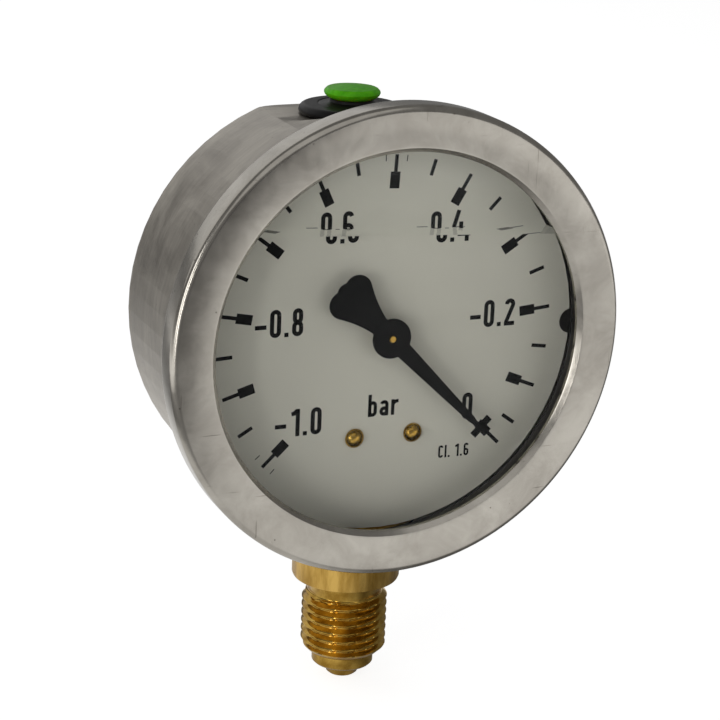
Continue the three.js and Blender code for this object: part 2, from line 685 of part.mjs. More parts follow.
function frontPlate() {
  const hole = (x, z, radius) => disc(x, z, radius, FRONT_PLATE_FRONT - 1, FRONT_PLATE_REAR + 1, TINY);
  return cut(
    plate(plateOutline(), FRONT_PLATE_FRONT, FRONT_PLATE_REAR, 6),
    hole(0, 0, ARBOR_RADIUS + RUN_GAP),
    hole(PIVOT.x, PIVOT.y, PIVOT_RADIUS + RUN_GAP),
    hole(-DIAL_SCREW_X, -DIAL_SCREW_DROP, SCREW_SHANK_RADIUS + THREAD_FIT),
    hole(DIAL_SCREW_X, -DIAL_SCREW_DROP, SCREW_SHANK_RADIUS + THREAD_FIT),
    hole(-PILLAR_X, -PILLAR_DROP, PLATE_SCREW_RADIUS + RUN_GAP),
    hole(PILLAR_X, -PILLAR_DROP, PLATE_SCREW_RADIUS + RUN_GAP),
  );
}

function rearPlate() {
  const hole = (x, z, radius) => disc(x, z, radius, REAR_PLATE_FRONT - 1, REAR_PLATE_REAR + 1, TINY);
  return cut(
    plate(plateOutline(), REAR_PLATE_FRONT, REAR_PLATE_REAR, 6),
    hole(0, 0, PIVOT_RADIUS + RUN_GAP),
    hole(PIVOT.x, PIVOT.y, PIVOT_RADIUS + RUN_GAP),
    hole(-MOVEMENT_SCREW_X, -MOVEMENT_SCREW_DROP, SCREW_SHANK_RADIUS + RUN_GAP),
    hole(MOVEMENT_SCREW_X, -MOVEMENT_SCREW_DROP, SCREW_SHANK_RADIUS + RUN_GAP),
  );
}

function pillar(x) {
  const front = FRONT_PLATE_REAR + SEAT_GAP;
  const rear = REAR_PLATE_FRONT - SEAT_GAP;
  const tapped = disc(x, -PILLAR_DROP, PLATE_SCREW_RADIUS + THREAD_FIT, front - 1, front + 1.6, TINY);
  return cut(disc(x, -PILLAR_DROP, PILLAR_RADIUS, front, rear, SMALL), tapped);
}

// A cheese-head screw along the dial's axis: its head's rear face at seatY, its shank behind.
function slottedScrew(x, z, headRadius, headHeight, shankRadius, shankLength, seatY) {
  const body = turnedAt(x, z, [
    [0, seatY - headHeight],
    [headRadius, seatY - headHeight],
    [headRadius, seatY],
    [shankRadius, seatY],
    [shankRadius, seatY + shankLength],
    [0, seatY + shankLength],
  ], TINY);
  const slotWidth = headRadius / 4;
  const slotDepth = headHeight / 2;
  return cut(body, block(headRadius * 3, slotDepth * 2, slotWidth, x, seatY - headHeight, z));
}

place(head, "movement_front_plate", frontPlate(), BRASS);
place(head, "movement_rear_plate", rearPlate(), BRASS);
for (const [name, side] of [["left", -1], ["right", 1]]) {
  const frontSeat = FRONT_PLATE_FRONT - SEAT_GAP / 2;
  const pillarScrew = slottedScrew(
    side * PILLAR_X, -PILLAR_DROP, PILLAR_RADIUS, 0.5, PLATE_SCREW_RADIUS, 2.0, frontSeat,
  );
  const movementScrew = slottedScrew(
    side * MOVEMENT_SCREW_X, -MOVEMENT_SCREW_DROP, 1.2, 0.8, SCREW_SHANK_RADIUS, 3.2,
    REAR_PLATE_FRONT - SEAT_GAP / 2,
  );
  place(head, "pillar_" + name, pillar(side * PILLAR_X), BRASS);
  place(head, "pillar_screw_" + name, pillarScrew, BRASS);
  place(head, "movement_screw_" + name, movementScrew, STEEL);
}

// ---- Bourdon tube, its end piece and the link --------------------------------------------------

const TUBE_ROOT_INSET = 2.6;
const TUBE_STEPS = 26;
const POCKET_GAP = 0.2;
const TUBE_ROOT_X = -(BLOCK_HALF_WIDTH - TUBE_ROOT_INSET);
const TUBE_ROOT_Z = -Math.sqrt(TUBE_RADIUS ** 2 - TUBE_ROOT_X ** 2);
const TUBE_ROOT_ANGLE = 360 + THREE.MathUtils.radToDeg(Math.atan2(TUBE_ROOT_Z, TUBE_ROOT_X));

class TubeArc extends THREE.Curve {
  constructor(fromDegrees, toDegrees) {
    super();
    this.from = fromDegrees;
    this.to = toDegrees;
  }

  getPoint(t, target = new THREE.Vector3()) {
    const at = polar(TUBE_RADIUS, this.from + (this.to - this.from) * t);
    return target.set(at.x, 0, at.y);
  }
}

// An oval section, flattened towards the dial's axis, so that suction curls the tube tighter.
function ovalSection(height, width) {
  const end = height / 2;
  const straight = width / 2 - end;
  const shape = new THREE.Shape();
  shape.absarc(0, straight, end, 0, Math.PI);
  shape.absarc(0, -straight, end, Math.PI, 2 * Math.PI);
  return shape;
}

// The sweep's frame can lay the section either way round, so the width is measured and set along Y.
function sweptTube(height, width, fromDegrees, toDegrees) {
  const extrudePath = new TubeArc(fromDegrees, toDegrees);
  const settings = { steps: TUBE_STEPS, extrudePath, curveSegments: 4 };
  const along = new THREE.ExtrudeGeometry(ovalSection(height, width), settings);
  along.computeBoundingBox();
  const lies = along.boundingBox.max.y - along.boundingBox.min.y > (width + height) / 2;
  const across = new THREE.ExtrudeGeometry(ovalSection(height, width).clone(), settings);
  const turnedSection = new THREE.Shape(
    ovalSection(height, width).getPoints(4).map((point) => new THREE.Vector2(point.y, point.x)),
  );
  const chosen = lies ? across : new THREE.ExtrudeGeometry(turnedSection, settings);
  return solid(chosen.translate(0, TUBE_Y, 0));
}

function bourdonTube() {
  const outer = sweptTube(TUBE_HEIGHT, TUBE_WIDTH, TUBE_ROOT_ANGLE, TUBE_TIP_ANGLE);
  const inner = sweptTube(
    TUBE_HEIGHT - TUBE_WALL * 2, TUBE_WIDTH - TUBE_WALL * 2, TUBE_ROOT_ANGLE + 2, TUBE_TIP_ANGLE + 2,
  );
  return cut(outer, inner);
}

// A brass block that closes the tube, with an ear reaching forward to the link.
function tubeTip() {
  const length = 3.4;
  const half = LINK_PIN_RADIUS * 3;
  const rear = TUBE_Y + TUBE_WIDTH / 2;
  const front = LINK_Y + LINK_THICKNESS / 2 + SEAT_GAP;
  const radial = TUBE_HEIGHT + 0.8;
  const body = block(radial, TUBE_WIDTH + 0.6, length, 0, TUBE_Y, -length / 2 - FIT_GAP);
  const ear = block(half * 2, rear - front, half * 2, 0, (rear + front) / 2, -length / 2 - FIT_GAP);
  const at = polar(TUBE_RADIUS, TUBE_TIP_ANGLE);
  return cut(
    joined(body, ear),
    disc(0, -length / 2 - FIT_GAP, LINK_PIN_RADIUS + FIT_GAP, front - 1, front + 3, TINY),
  ).rotate([0, -TUBE_TIP_ANGLE, 0]).translate([at.x, 0, at.y]);
}

const TIP_PIN = polar(TUBE_RADIUS, TUBE_TIP_ANGLE).add(polar(1.7 + FIT_GAP, TUBE_TIP_ANGLE - 90));

function link() {
  const front = LINK_Y - LINK_THICKNESS / 2;
  const rear = LINK_Y + LINK_THICKNESS / 2;
  return cut(
    joined(
      plate(roundBar(TAIL_PIN, TIP_PIN, LINK_PIN_RADIUS * 1.5), front, rear),
      disc(TAIL_PIN.x, TAIL_PIN.y, LINK_EYE_RADIUS, front, rear, SMALL),
      disc(TIP_PIN.x, TIP_PIN.y, LINK_EYE_RADIUS, front, rear, SMALL),
    ),
    disc(TAIL_PIN.x, TAIL_PIN.y, LINK_PIN_RADIUS + RUN_GAP, front - 1, rear + 1, TINY),
    disc(TIP_PIN.x, TIP_PIN.y, LINK_PIN_RADIUS + EYE_GAP, front - 1, rear + 1, TINY),
  );
}

// A shouldered pin: its head in front of the link, its shank back to yRear.
function linkPin(at, headRadius, yRear) {
  const seat = LINK_Y - LINK_THICKNESS / 2 - SEAT_GAP;
  const headHeight = 0.3;
  return turnedAt(at.x, at.y, [
    [0, seat - headHeight],
    [headRadius, seat - headHeight],
    [headRadius, seat],
    [LINK_PIN_RADIUS, seat],
    [LINK_PIN_RADIUS, yRear],
    [0, yRear],
  ], TINY);
}

place(head, "bourdon_tube", bourdonTube(), BRONZE);
place(head, "tube_tip", tubeTip(), BRASS);
place(head, "link", link(), BRASS);
place(head, "link_pin_sector", linkPin(TAIL_PIN, 0.75, SECTOR_Y + SECTOR_THICKNESS / 2), STEEL);
place(head, "link_pin_tube", linkPin(TIP_PIN, 1.05, LINK_Y + LINK_THICKNESS / 2 + 2.5), STEEL);

// ---- Stem --------------------------------------------------------------------------------------

const CHAMFER = 0.5;
const PILOT_CHAMFER = 0.3;

function stemBody() {
  const clipTop = STEM_SEAT_Z - SEAT_GAP;
  const clipBottom = clipTop - CLIP_THICKNESS - SEAT_GAP;
  const grooveRadius = COLLAR_RADIUS - CLIP_GROOVE_DEPTH;
  return stood([
    [0, -PILOT_LENGTH],
    [PILOT_RADIUS - PILOT_CHAMFER, -PILOT_LENGTH],
    [PILOT_RADIUS, -PILOT_LENGTH + PILOT_CHAMFER],
    [PILOT_RADIUS, 0],
    [SPIGOT_RADIUS, 0],
    [SPIGOT_RADIUS, SPIGOT_HEIGHT],
    [THREAD_ROOT_RADIUS, SPIGOT_HEIGHT],
    [THREAD_RADIUS, SPIGOT_HEIGHT + THREAD_RADIUS - THREAD_ROOT_RADIUS],
    [THREAD_RADIUS, THREAD_TOP - CHAMFER],
    [THREAD_ROOT_RADIUS, THREAD_TOP],
    [THREAD_ROOT_RADIUS, COLLAR_BOTTOM],
    [COLLAR_RADIUS - CHAMFER / 2, COLLAR_BOTTOM],
    [COLLAR_RADIUS, COLLAR_BOTTOM + CHAMFER / 2],
    [COLLAR_RADIUS, clipBottom],
    [grooveRadius, clipBottom],
    [grooveRadius, clipTop],
    [COLLAR_RADIUS, clipTop],
    [COLLAR_RADIUS, STEM_FLANGE_Z],
    [STEM_FLANGE_RADIUS, STEM_FLANGE_Z],
    [STEM_FLANGE_RADIUS, STEM_FLANGE_TOP],
    [0, STEM_FLANGE_TOP],
  ], MEDIUM);
}

// Turned connection, square block above it, one bore up the middle and a pocket for the tube's root.
function stem() {
  const overlap = 1;
  const height = BLOCK_TOP_Z - STEM_FLANGE_TOP + overlap;
  const depth = BLOCK_REAR_Y - BLOCK_FRONT_Y;
  const middleY = (BLOCK_REAR_Y + BLOCK_FRONT_Y) / 2;
  const middleZ = STEM_FLANGE_TOP - overlap + height / 2;
  const square = block(BLOCK_HALF_WIDTH * 2, depth, height, 0, middleY, middleZ);
  const tubeZ = CENTRE_HEIGHT + TUBE_ROOT_Z;
  const pocketX = -BLOCK_HALF_WIDTH;
  const pocket = block(
    (TUBE_ROOT_INSET + POCKET_GAP * 2) * 2, TUBE_WIDTH + POCKET_GAP * 2, TUBE_HEIGHT + 2,
    pocketX, TUBE_Y, tubeZ + 0.4,
  );
  const passage = block(BLOCK_HALF_WIDTH, BORE_RADIUS, BORE_RADIUS, pocketX / 2, 0, tubeZ);
  const bore = stood([
    [0, -PILOT_LENGTH - 1],
    [BORE_RADIUS, -PILOT_LENGTH - 1],
    [BORE_RADIUS, tubeZ],
    [0, tubeZ + BORE_RADIUS / 2],
  ], SMALL);
  const dialRelief = block(
    STEM_FLANGE_RADIUS * 2, STEM_FLANGE_RADIUS, STEM_FLANGE_THICKNESS,
    0, DIAL_REAR_Y + SEAT_GAP * 2 - STEM_FLANGE_RADIUS / 2,
    CENTRE_HEIGHT - DIAL_RADIUS - SEAT_GAP * 2 + STEM_FLANGE_THICKNESS / 2,
  );
  const tapped = (x) =>
    disc(x, BLOCK_TOP_Z + BLOCK_TOP_DROP - MOVEMENT_SCREW_DROP, SCREW_SHANK_RADIUS + THREAD_FIT,
      BLOCK_FRONT_Y - 1, BLOCK_FRONT_Y + 3, TINY);
  return cut(
    joined(stemBody(), square),
    pocket,
    passage,
    bore,
    dialRelief,
    tapped(-MOVEMENT_SCREW_X),
    tapped(MOVEMENT_SCREW_X),
  );
}

function ringStood(bore, radius, from, to, facets) {
  return stood([[bore, from], [radius, from], [radius, to], [bore, to]], facets);
}

function stemSeal() {
  const bottom = STEM_SEAT_Z + CASE_WALL + SEAT_GAP / 2;
  return ringStood(COLLAR_RADIUS + FIT_GAP, STEM_FLANGE_RADIUS, bottom, bottom + SEAL_THICKNESS, MEDIUM);
}

// An open snap ring in the stem's groove holds the stem against the pressed seat of the case.
function retainingRing() {
  const top = STEM_SEAT_Z - SEAT_GAP * 1.5;
  const bore = COLLAR_RADIUS - CLIP_GROOVE_DEPTH + FIT_GAP;
  const gap = 5;
  const full = ringStood(bore, bore + CLIP_WIDTH, top - CLIP_THICKNESS + SEAT_GAP / 2, top, MEDIUM);
  return cut(full, block(gap, bore * 2, CLIP_THICKNESS * 4, 0, bore, top));
}

// A throttle screwed into the bore's mouth, with a fine hole and a driver slot.
function restrictorScrew() {
  const radius = BORE_RADIUS - FIT_GAP;
  const hole = 0.35;
  const bottom = -PILOT_LENGTH + 0.3;
  const top = bottom + 3.5;
  const slot = block(radius * 3, 0.5, 1, 0, 0, bottom);
  return cut(ringStood(hole, radius, bottom, top, SMALL), slot);
}

place(group, "stem", stem(), BRASS);
place(group, "stem_seal", stemSeal(), BLACK_RUBBER);
place(group, "stem_retaining_ring", retainingRing(), STEEL);
place(group, "restrictor_screw", restrictorScrew(), BRASS);

// ---- Filling plug and vent cap -----------------------------------------------------------------

function fillerPlug() {
  const seat = PLUG_SEAT + SEAT_GAP / 2;
  const top = seat + PLUG_HEIGHT;
  const round = 1.2;
  const wallInside = PLUG_SEAT - CASE_WALL - SEAT_GAP;
  const bore = VENT_STEM_RADIUS + RUN_GAP;
  return stood([
    [bore, top + PLUG_BOSS_HEIGHT],
    [bore, wallInside - 1.6],
    [PLUG_NECK_RADIUS, wallInside - 1.6],
    [PLUG_BULB_RADIUS, wallInside - 0.5],
    [PLUG_BULB_RADIUS, wallInside],
    [PLUG_NECK_RADIUS, wallInside],
    [PLUG_NECK_RADIUS, seat],
    [PLUG_RADIUS, seat],
    ...arcPoints([PLUG_RADIUS - round, top - round], round, 0, 90, CORNER_STEPS),
    [PLUG_BOSS_RADIUS, top],
    [PLUG_BOSS_RADIUS, top + PLUG_BOSS_HEIGHT],
  ], MEDIUM, PLUG_Y);
}

function ventCap() {
  const bottom = PLUG_SEAT + PLUG_HEIGHT + PLUG_BOSS_HEIGHT + SEAT_GAP;
  return stood([
    [0, bottom - VENT_STEM_LENGTH],
    [VENT_STEM_RADIUS, bottom - VENT_STEM_LENGTH],
    [VENT_STEM_RADIUS, bottom],
    [CAP_RADIUS * 0.68, bottom],
    [CAP_RADIUS * 0.95, bottom + CAP_HEIGHT * 0.34],
    [CAP_RADIUS, bottom + CAP_HEIGHT * 0.48],
    [CAP_RADIUS * 0.95, bottom + CAP_HEIGHT * 0.66],
    [CAP_RADIUS * 0.7, bottom + CAP_HEIGHT * 0.88],
    [CAP_RADIUS * 0.35, bottom + CAP_HEIGHT * 0.97],
    [0, bottom + CAP_HEIGHT],
  ], MEDIUM, PLUG_Y);
}

place(head, "filler_plug", fillerPlug(), BLACK_RUBBER);
place(head, "vent_cap", ventCap(), GREEN_PLASTIC);

export default group;
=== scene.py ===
# Looks for the liquid-filled vacuum gauge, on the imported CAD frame.
# Sizes are in millimetres in this file and become metres where a mesh, light or camera is made.
import math

import bmesh
import bpy
from mathutils import Matrix, Vector


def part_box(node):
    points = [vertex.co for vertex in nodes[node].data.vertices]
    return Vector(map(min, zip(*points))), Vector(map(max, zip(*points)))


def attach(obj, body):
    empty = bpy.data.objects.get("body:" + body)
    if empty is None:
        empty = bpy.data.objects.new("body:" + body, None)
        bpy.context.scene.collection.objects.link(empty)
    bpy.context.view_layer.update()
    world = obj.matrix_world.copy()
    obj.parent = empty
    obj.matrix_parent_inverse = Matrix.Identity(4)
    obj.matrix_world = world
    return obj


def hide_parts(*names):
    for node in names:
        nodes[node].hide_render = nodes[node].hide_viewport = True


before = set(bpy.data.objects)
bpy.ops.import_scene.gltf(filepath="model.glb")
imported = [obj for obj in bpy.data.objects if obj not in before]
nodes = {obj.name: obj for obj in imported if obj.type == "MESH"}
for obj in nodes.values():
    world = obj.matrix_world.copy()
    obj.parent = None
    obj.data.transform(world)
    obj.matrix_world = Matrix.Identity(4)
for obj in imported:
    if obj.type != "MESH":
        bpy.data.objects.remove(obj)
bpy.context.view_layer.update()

MM = 0.001
BODY = "gauge_body"


def low_high(node):
    """A CAD node's lowest and highest corners, in millimetres."""
    low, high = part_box(node)
    return low / MM, high / MM


# ---- Sizes read from the frame -----------------------------------------------------------------

ring_low, ring_high = low_high("bezel_ring")
window_low, window_high = low_high("window")
gasket_low, gasket_high = low_high("window_gasket")
dial_low, _ = low_high("dial")

CENTRE_Z = (ring_low.z + ring_high.z) / 2
RING_RADIUS = (ring_high.z - ring_low.z) / 2
RING_FRONT = ring_low.y
RING_REAR = ring_high.y
DIAL_FACE = dial_low.y

# ---- Camera ------------------------------------------------------------------------------------

CAMERA_AZIMUTH = -23.76
CAMERA_ELEVATION = 17.34
CAMERA_ROLL = 2.37
CAMERA_DISTANCE = 308.15
CAMERA_TARGET = Vector((-3.342, -9.873, 52.058))
CAMERA_LENS = 106.87
CAMERA_SENSOR = 36.0
CLIP_NEAR = 10.0
CLIP_FAR = 20000.0


def view_axes(azimuth, elevation, roll):
    """Right, up and back directions of a camera that looks from this azimuth and elevation."""
    turn = math.radians(azimuth)
    rise = math.radians(elevation)
    tilt = math.radians(roll)
    back = Vector((math.sin(turn) * math.cos(rise), -math.cos(turn) * math.cos(rise), math.sin(rise)))
    level = Vector((math.cos(turn), math.sin(turn), 0.0))
    upright = back.cross(level)
    right = level * math.cos(tilt) + upright * math.sin(tilt)
    up = upright * math.cos(tilt) - level * math.sin(tilt)
    return right, up, back


def make_camera():
    right, up, back = view_axes(CAMERA_AZIMUTH, CAMERA_ELEVATION, CAMERA_ROLL)
    data = bpy.data.cameras.new("photo_camera")
    data.lens = CAMERA_LENS
    data.sensor_width = CAMERA_SENSOR
    data.clip_start = CLIP_NEAR * MM
    data.clip_end = CLIP_FAR * MM
    camera = bpy.data.objects.new("photo_camera", data)
    turn = Matrix((right, up, back)).transposed().to_4x4()
    place = (CAMERA_TARGET + back * CAMERA_DISTANCE) * MM
    camera.matrix_world = Matrix.Translation(place) @ turn
    bpy.context.scene.collection.objects.link(camera)
    bpy.context.scene.camera = camera


make_camera()

# ---- Mesh helpers ------------------------------------------------------------------------------

SMOOTH_ANGLE = math.radians(32)
MERGE_DISTANCE = 0.002


def finish_mesh(name, verts, faces, materials, face_slots=None):
    """A mesh object from millimetre points, smooth except at real corners."""
    mesh = bpy.data.meshes.new(name)
    mesh.from_pydata([tuple(Vector(v) * MM) for v in verts], [], faces)
    tidy = bmesh.new()
    tidy.from_mesh(mesh)
    bmesh.ops.remove_doubles(tidy, verts=tidy.verts, dist=MERGE_DISTANCE * MM)
    bmesh.ops.recalc_face_normals(tidy, faces=tidy.faces)
    tidy.to_mesh(mesh)
    tidy.free()
    for one in materials:
        mesh.materials.append(one)
    if face_slots:
        for polygon, index in zip(mesh.polygons, face_slots):
            polygon.material_index = index
    mesh.polygons.foreach_set("use_smooth", [True] * len(mesh.polygons))
    mesh.set_sharp_from_angle(angle=SMOOTH_ANGLE)
    made = bpy.data.objects.new(name, mesh)
    bpy.context.scene.collection.objects.link(made)
    return made


def dial_lathe(name, profile, materials, segments=256):
    """A closed profile of (radius, y) points turned about the dial's axis."""
    verts = []
    for step in range(segments):
        angle = 2 * math.pi * step / segments
        for radius, y in profile:
            verts.append((radius * math.cos(angle), y, CENTRE_Z + radius * math.sin(angle)))
    count = len(profile)
    faces = []
    for step in range(segments):
        here = step * count
        there = ((step + 1) % segments) * count
        for i in range(count):
            j = (i + 1) % count
            faces.append((here + i, here + j, there + j, there + i))
    return finish_mesh(name, verts, faces, materials)


def upright_lathe(name, profile, materials, centre_y=0.0, segments=128):
    """A closed profile of (radius, z) points turned about a vertical axis through (0, centre_y)."""
    verts = []
    for step in range(segments):
        angle = 2 * math.pi * step / segments
        for radius, z in profile:
            verts.append((radius * math.cos(angle), centre_y + radius * math.sin(angle), z))
    count = len(profile)
    faces = []
    for step in range(segments):
        here = step * count
        there = ((step + 1) % segments) * count
        for i in range(count):
            j = (i + 1) % count
            faces.append((here + i, here + j, there + j, there + i))
    return finish_mesh(name, verts, faces, materials)


def arc(centre, size, start, end, steps):
    """Profile points on an arc, angles in degrees."""
    points = []
    for step in range(steps + 1):
        angle = math.radians(start + (end - start) * step / steps)
        points.append((centre[0] + size * math.cos(angle), centre[1] + size * math.sin(angle)))
    return points


def settle(made, body, slot_name, *replaced):
    """Fastens a piece to its body and hides the CAD nodes it stands for; its slot name is not used."""
    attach(made, body)
    if replaced:
        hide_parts(*replaced)
    return made


# ---- Materials ---------------------------------------------------------------------------------


class Surface:
    """A Principled material with short helpers for its procedural detail."""

    def __init__(self, name, colour, roughness, metallic=0.0, **inputs):
        self.material = bpy.data.materials.new(name)
        self.material.use_nodes = True
        self.tree = self.material.node_tree
        self.shader = self.tree.nodes["Principled BSDF"]
        self.shader.inputs["Base Color"].default_value = (*colour, 1.0)
        self.shader.inputs["Roughness"].default_value = roughness
        self.shader.inputs["Metallic"].default_value = metallic
        for key, value in inputs.items():
            self.shader.inputs[key.replace("_", " ")].default_value = value
        self.bump = None

    def node(self, kind, **settings):
        made = self.tree.nodes.new(kind)
        for key, value in settings.items():
            setattr(made, key, value)
        return made

    def link(self, source, target):
        self.tree.links.new(source, target)

    def position(self, scale=(1.0, 1.0, 1.0), turn=(0.0, 0.0, 0.0)):
        """Object coordinates in millimetres, stretched by scale."""
        where = self.node("ShaderNodeTexCoord")
        mapping = self.node("ShaderNodeMapping")
        mapping.inputs["Scale"].default_value = tuple(s / MM for s in scale)
        mapping.inputs["Rotation"].default_value = turn
        self.link(where.outputs["Object"], mapping.inputs["Vector"])
        return mapping.outputs["Vector"]

    def noise(self, vector, scale, detail=3.0, roughness=0.6, distortion=0.0):
        made = self.node("ShaderNodeTexNoise")
        made.inputs["Scale"].default_value = scale
        made.inputs["Detail"].default_value = detail
        made.inputs["Roughness"].default_value = roughness
        made.inputs["Distortion"].default_value = distortion
        self.link(vector, made.inputs["Vector"])
        return made.outputs["Fac"]

    def spots(self, vector, scale, reach):
        """1 at scattered small spots, 0 elsewhere."""
        cells = self.node("ShaderNodeTexVoronoi")
        cells.inputs["Scale"].default_value = scale
        self.link(vector, cells.inputs["Vector"])
        return self.ramp(cells.outputs["Distance"], reach * 0.5, reach, 1.0, 0.0)

    def ramp(self, value, low, high, out_low=0.0, out_high=1.0):
        made = self.node("ShaderNodeMapRange")
        made.inputs["From Min"].default_value = low
        made.inputs["From Max"].default_value = high
        made.inputs["To Min"].default_value = out_low
        made.inputs["To Max"].default_value = out_high
        self.link(value, made.inputs["Value"])
        return made.outputs["Result"]

    def combine(self, operation, first, second):
        made = self.node("ShaderNodeMath", operation=operation)
        for socket, value in zip(made.inputs, (first, second)):
            if isinstance(value, (int, float)):
                socket.default_value = value
            else:
                self.link(value, socket)
        return made.outputs["Value"]

    def tint(self, factor, dark, light):
        """The base colour, mixed from two colours by a factor."""
        mix = self.node("ShaderNodeMix", data_type="RGBA")
        mix.inputs["A"].default_value = (*dark, 1.0)
        mix.inputs["B"].default_value = (*light, 1.0)
        self.link(factor, mix.inputs["Factor"])
        self.link(mix.outputs["Result"], self.shader.inputs["Base Color"])

    def rough(self, factor, low, high):
        self.link(self.ramp(factor, 0.0, 1.0, low, high), self.shader.inputs["Roughness"])

    def relief(self, height, depth, strength=1.0):
        """Adds a bump of this depth in millimetres to those already there."""
        made = self.node("ShaderNodeBump")
        made.inputs["Strength"].default_value = strength
        made.inputs["Distance"].default_value = depth * MM
        self.link(height, made.inputs["Height"])
        if self.bump:
            self.link(self.bump, made.inputs["Normal"])
        self.bump = made.outputs["Normal"]
        self.link(self.bump, self.shader.inputs["Normal"])


def ring_steel():
    """Satin steel with wiped streaks, fine scratches and specks of dirt."""
    surface = Surface("ring_steel", (0.5, 0.5, 0.5), 0.3, 1.0)
    clouds = surface.noise(surface.position(), 0.14, 5.0, 0.65, 0.6)
    specks = surface.spots(surface.position(), 0.33, 0.045)
    scratch_a = surface.noise(surface.position((0.12, 1.0, 2.6), (0.0, 0.7, 0.0)), 0.9, 2.0)
    scratch_b = surface.noise(surface.position((2.4, 1.0, 0.1), (0.0, 0.35, 0.0)), 0.8, 2.0)
    lines = surface.combine(
        "MAXIMUM", surface.ramp(scratch_a, 0.70, 0.76), surface.ramp(scratch_b, 0.71, 0.77)
    )
    dirt = surface.combine("MAXIMUM", surface.combine("MULTIPLY", lines, 0.5), specks)
    patch = surface.combine("SUBTRACT", surface.ramp(clouds, 0.3, 0.7, 0.55, 1.0), dirt)
    surface.tint(patch, (0.17, 0.15, 0.125), (0.53, 0.50, 0.445))
    surface.rough(clouds, 0.12, 0.28)
    surface.relief(lines, 0.01, 0.5)
    surface.relief(surface.noise(surface.position(), 0.09, 3.0), 0.35, 0.25)
    return surface.material


def case_steel():
    """The drawn case: pickled satin steel, warmer and rougher, with pits and faint bands."""
    surface = Surface("case_steel", (0.4, 0.39, 0.37), 0.36, 1.0)
    clouds = surface.noise(surface.position(), 0.1, 6.0, 0.7, 0.8)
    bands = surface.noise(surface.position((0.4, 6.0, 0.4)), 0.35, 3.0)
    pits = surface.spots(surface.position(), 0.55, 0.07)
    cloudy = surface.combine("MULTIPLY", clouds, 0.75)
    banded = surface.combine("MULTIPLY", bands, 0.25)
    worn = surface.combine("ADD", cloudy, banded)
    dirt = surface.combine("MULTIPLY", pits, 0.5)
    patch = surface.combine("SUBTRACT", surface.ramp(worn, 0.32, 0.68, 0.2, 1.0), dirt)
    surface.tint(patch, (0.22, 0.19, 0.155), (0.60, 0.56, 0.49))
    surface.rough(clouds, 0.28, 0.5)
    surface.relief(surface.noise(surface.position(), 1.6, 4.0), 0.02, 0.35)
    surface.relief(pits, -0.05, 0.6)
    return surface.material


def turned_brass(name, lines_per_mm, roughness):
    """Bright turned brass with tool lines round the axis and a few darker stains."""
    surface = Surface(name, (0.75, 0.5, 0.16), roughness, 1.0)
    lines = surface.noise(surface.position((0.02, 0.02, lines_per_mm)), 1.0, 2.0)
    stains = surface.noise(surface.position(), 0.35, 4.0, 0.6)
    surface.tint(surface.ramp(stains, 0.35, 0.65), (0.33, 0.185, 0.028), (0.64, 0.41, 0.09))
    surface.rough(stains, roughness * 0.75, roughness * 1.35)
    surface.relief(lines, 0.006, 0.5)
    return surface.material


def milled_brass():
    """The collar's brass, with fine lines along the stem from drawing and handling."""
    surface = Surface("collar_brass", (0.75, 0.5, 0.16), 0.3, 1.0)
    lines = surface.noise(surface.position((3.2, 3.2, 0.12)), 1.0, 3.0, 0.7)
    stains = surface.noise(surface.position((1.0, 1.0, 0.25)), 0.5, 4.0, 0.6)
    surface.tint(surface.ramp(stains, 0.35, 0.65), (0.40, 0.225, 0.04), (0.76, 0.49, 0.13))
    surface.rough(lines, 0.2, 0.42)
    surface.relief(lines, 0.06, 0.8)
    return surface.material


def bronze_strip():
    """Drawn bronze of the tube and the spring, dulled by handling and solder heat."""
    surface = Surface("drawn_bronze", (0.55, 0.33, 0.14), 0.3, 1.0)
    heat = surface.noise(surface.position(), 0.12, 4.0)
    surface.tint(surface.ramp(heat, 0.35, 0.65), (0.34, 0.17, 0.07), (0.66, 0.42, 0.2))
    surface.rough(heat, 0.22, 0.45)
    surface.relief(surface.noise(surface.position(), 2.5, 3.0), 0.01, 0.4)
    return surface.material


def machined_steel():
    """Small turned steel pieces, with fine tool lines and slight oiling."""
    surface = Surface("machined_steel", (0.55, 0.54, 0.52), 0.28, 1.0)
    lines = surface.noise(surface.position((1.0, 1.0, 6.0)), 1.2, 2.0)
    oil = surface.noise(surface.position(), 0.4, 3.0)
    surface.tint(surface.ramp(oil, 0.3, 0.7), (0.42, 0.41, 0.4), (0.62, 0.61, 0.59))
    surface.rough(oil, 0.2, 0.4)
    surface.relief(lines, 0.006, 0.4)
    return surface.material


def dial_paint():
    """Matt white enamel with a very slight orange peel."""
    surface = Surface("dial_enamel", (0.78, 0.785, 0.76), 0.5)
    tone = surface.noise(surface.position(), 0.05, 3.0)
    surface.tint(tone, (0.70, 0.685, 0.585), (0.765, 0.75, 0.645))
    surface.rough(tone, 0.42, 0.58)
    surface.relief(surface.noise(surface.position(), 3.0, 2.0), 0.01, 0.25)
    return surface.material


def black_paint(name, roughness):
    """Matt black paint with fine dust and a little grain."""
    surface = Surface(name, (0.01, 0.01, 0.011), roughness, Specular_IOR_Level=0.12)
    dust = surface.spots(surface.position(), 1.1, 0.09)
    surface.tint(dust, (0.004, 0.004, 0.004), (0.02, 0.02, 0.021))
    grain = surface.noise(surface.position(), 6.0, 3.0)
    surface.rough(grain, roughness * 0.85, min(1.0, roughness * 1.15))
    surface.relief(grain, 0.008, 0.3)
    return surface.material


def black_rubber():
    """Moulded rubber: dark, softly shining, with fine mould texture and dust."""
    surface = Surface("black_rubber", (0.012, 0.011, 0.01), 0.4, Specular_IOR_Level=0.2)
    grain = surface.noise(surface.position(), 3.5, 4.0)
    dust = surface.noise(surface.position(), 0.4, 5.0)
    surface.tint(surface.ramp(dust, 0.55, 0.8), (0.009, 0.008, 0.008), (0.035, 0.033, 0.03))
    surface.rough(dust, 0.3, 0.5)
    surface.relief(grain, 0.02, 0.35)
    return surface.material


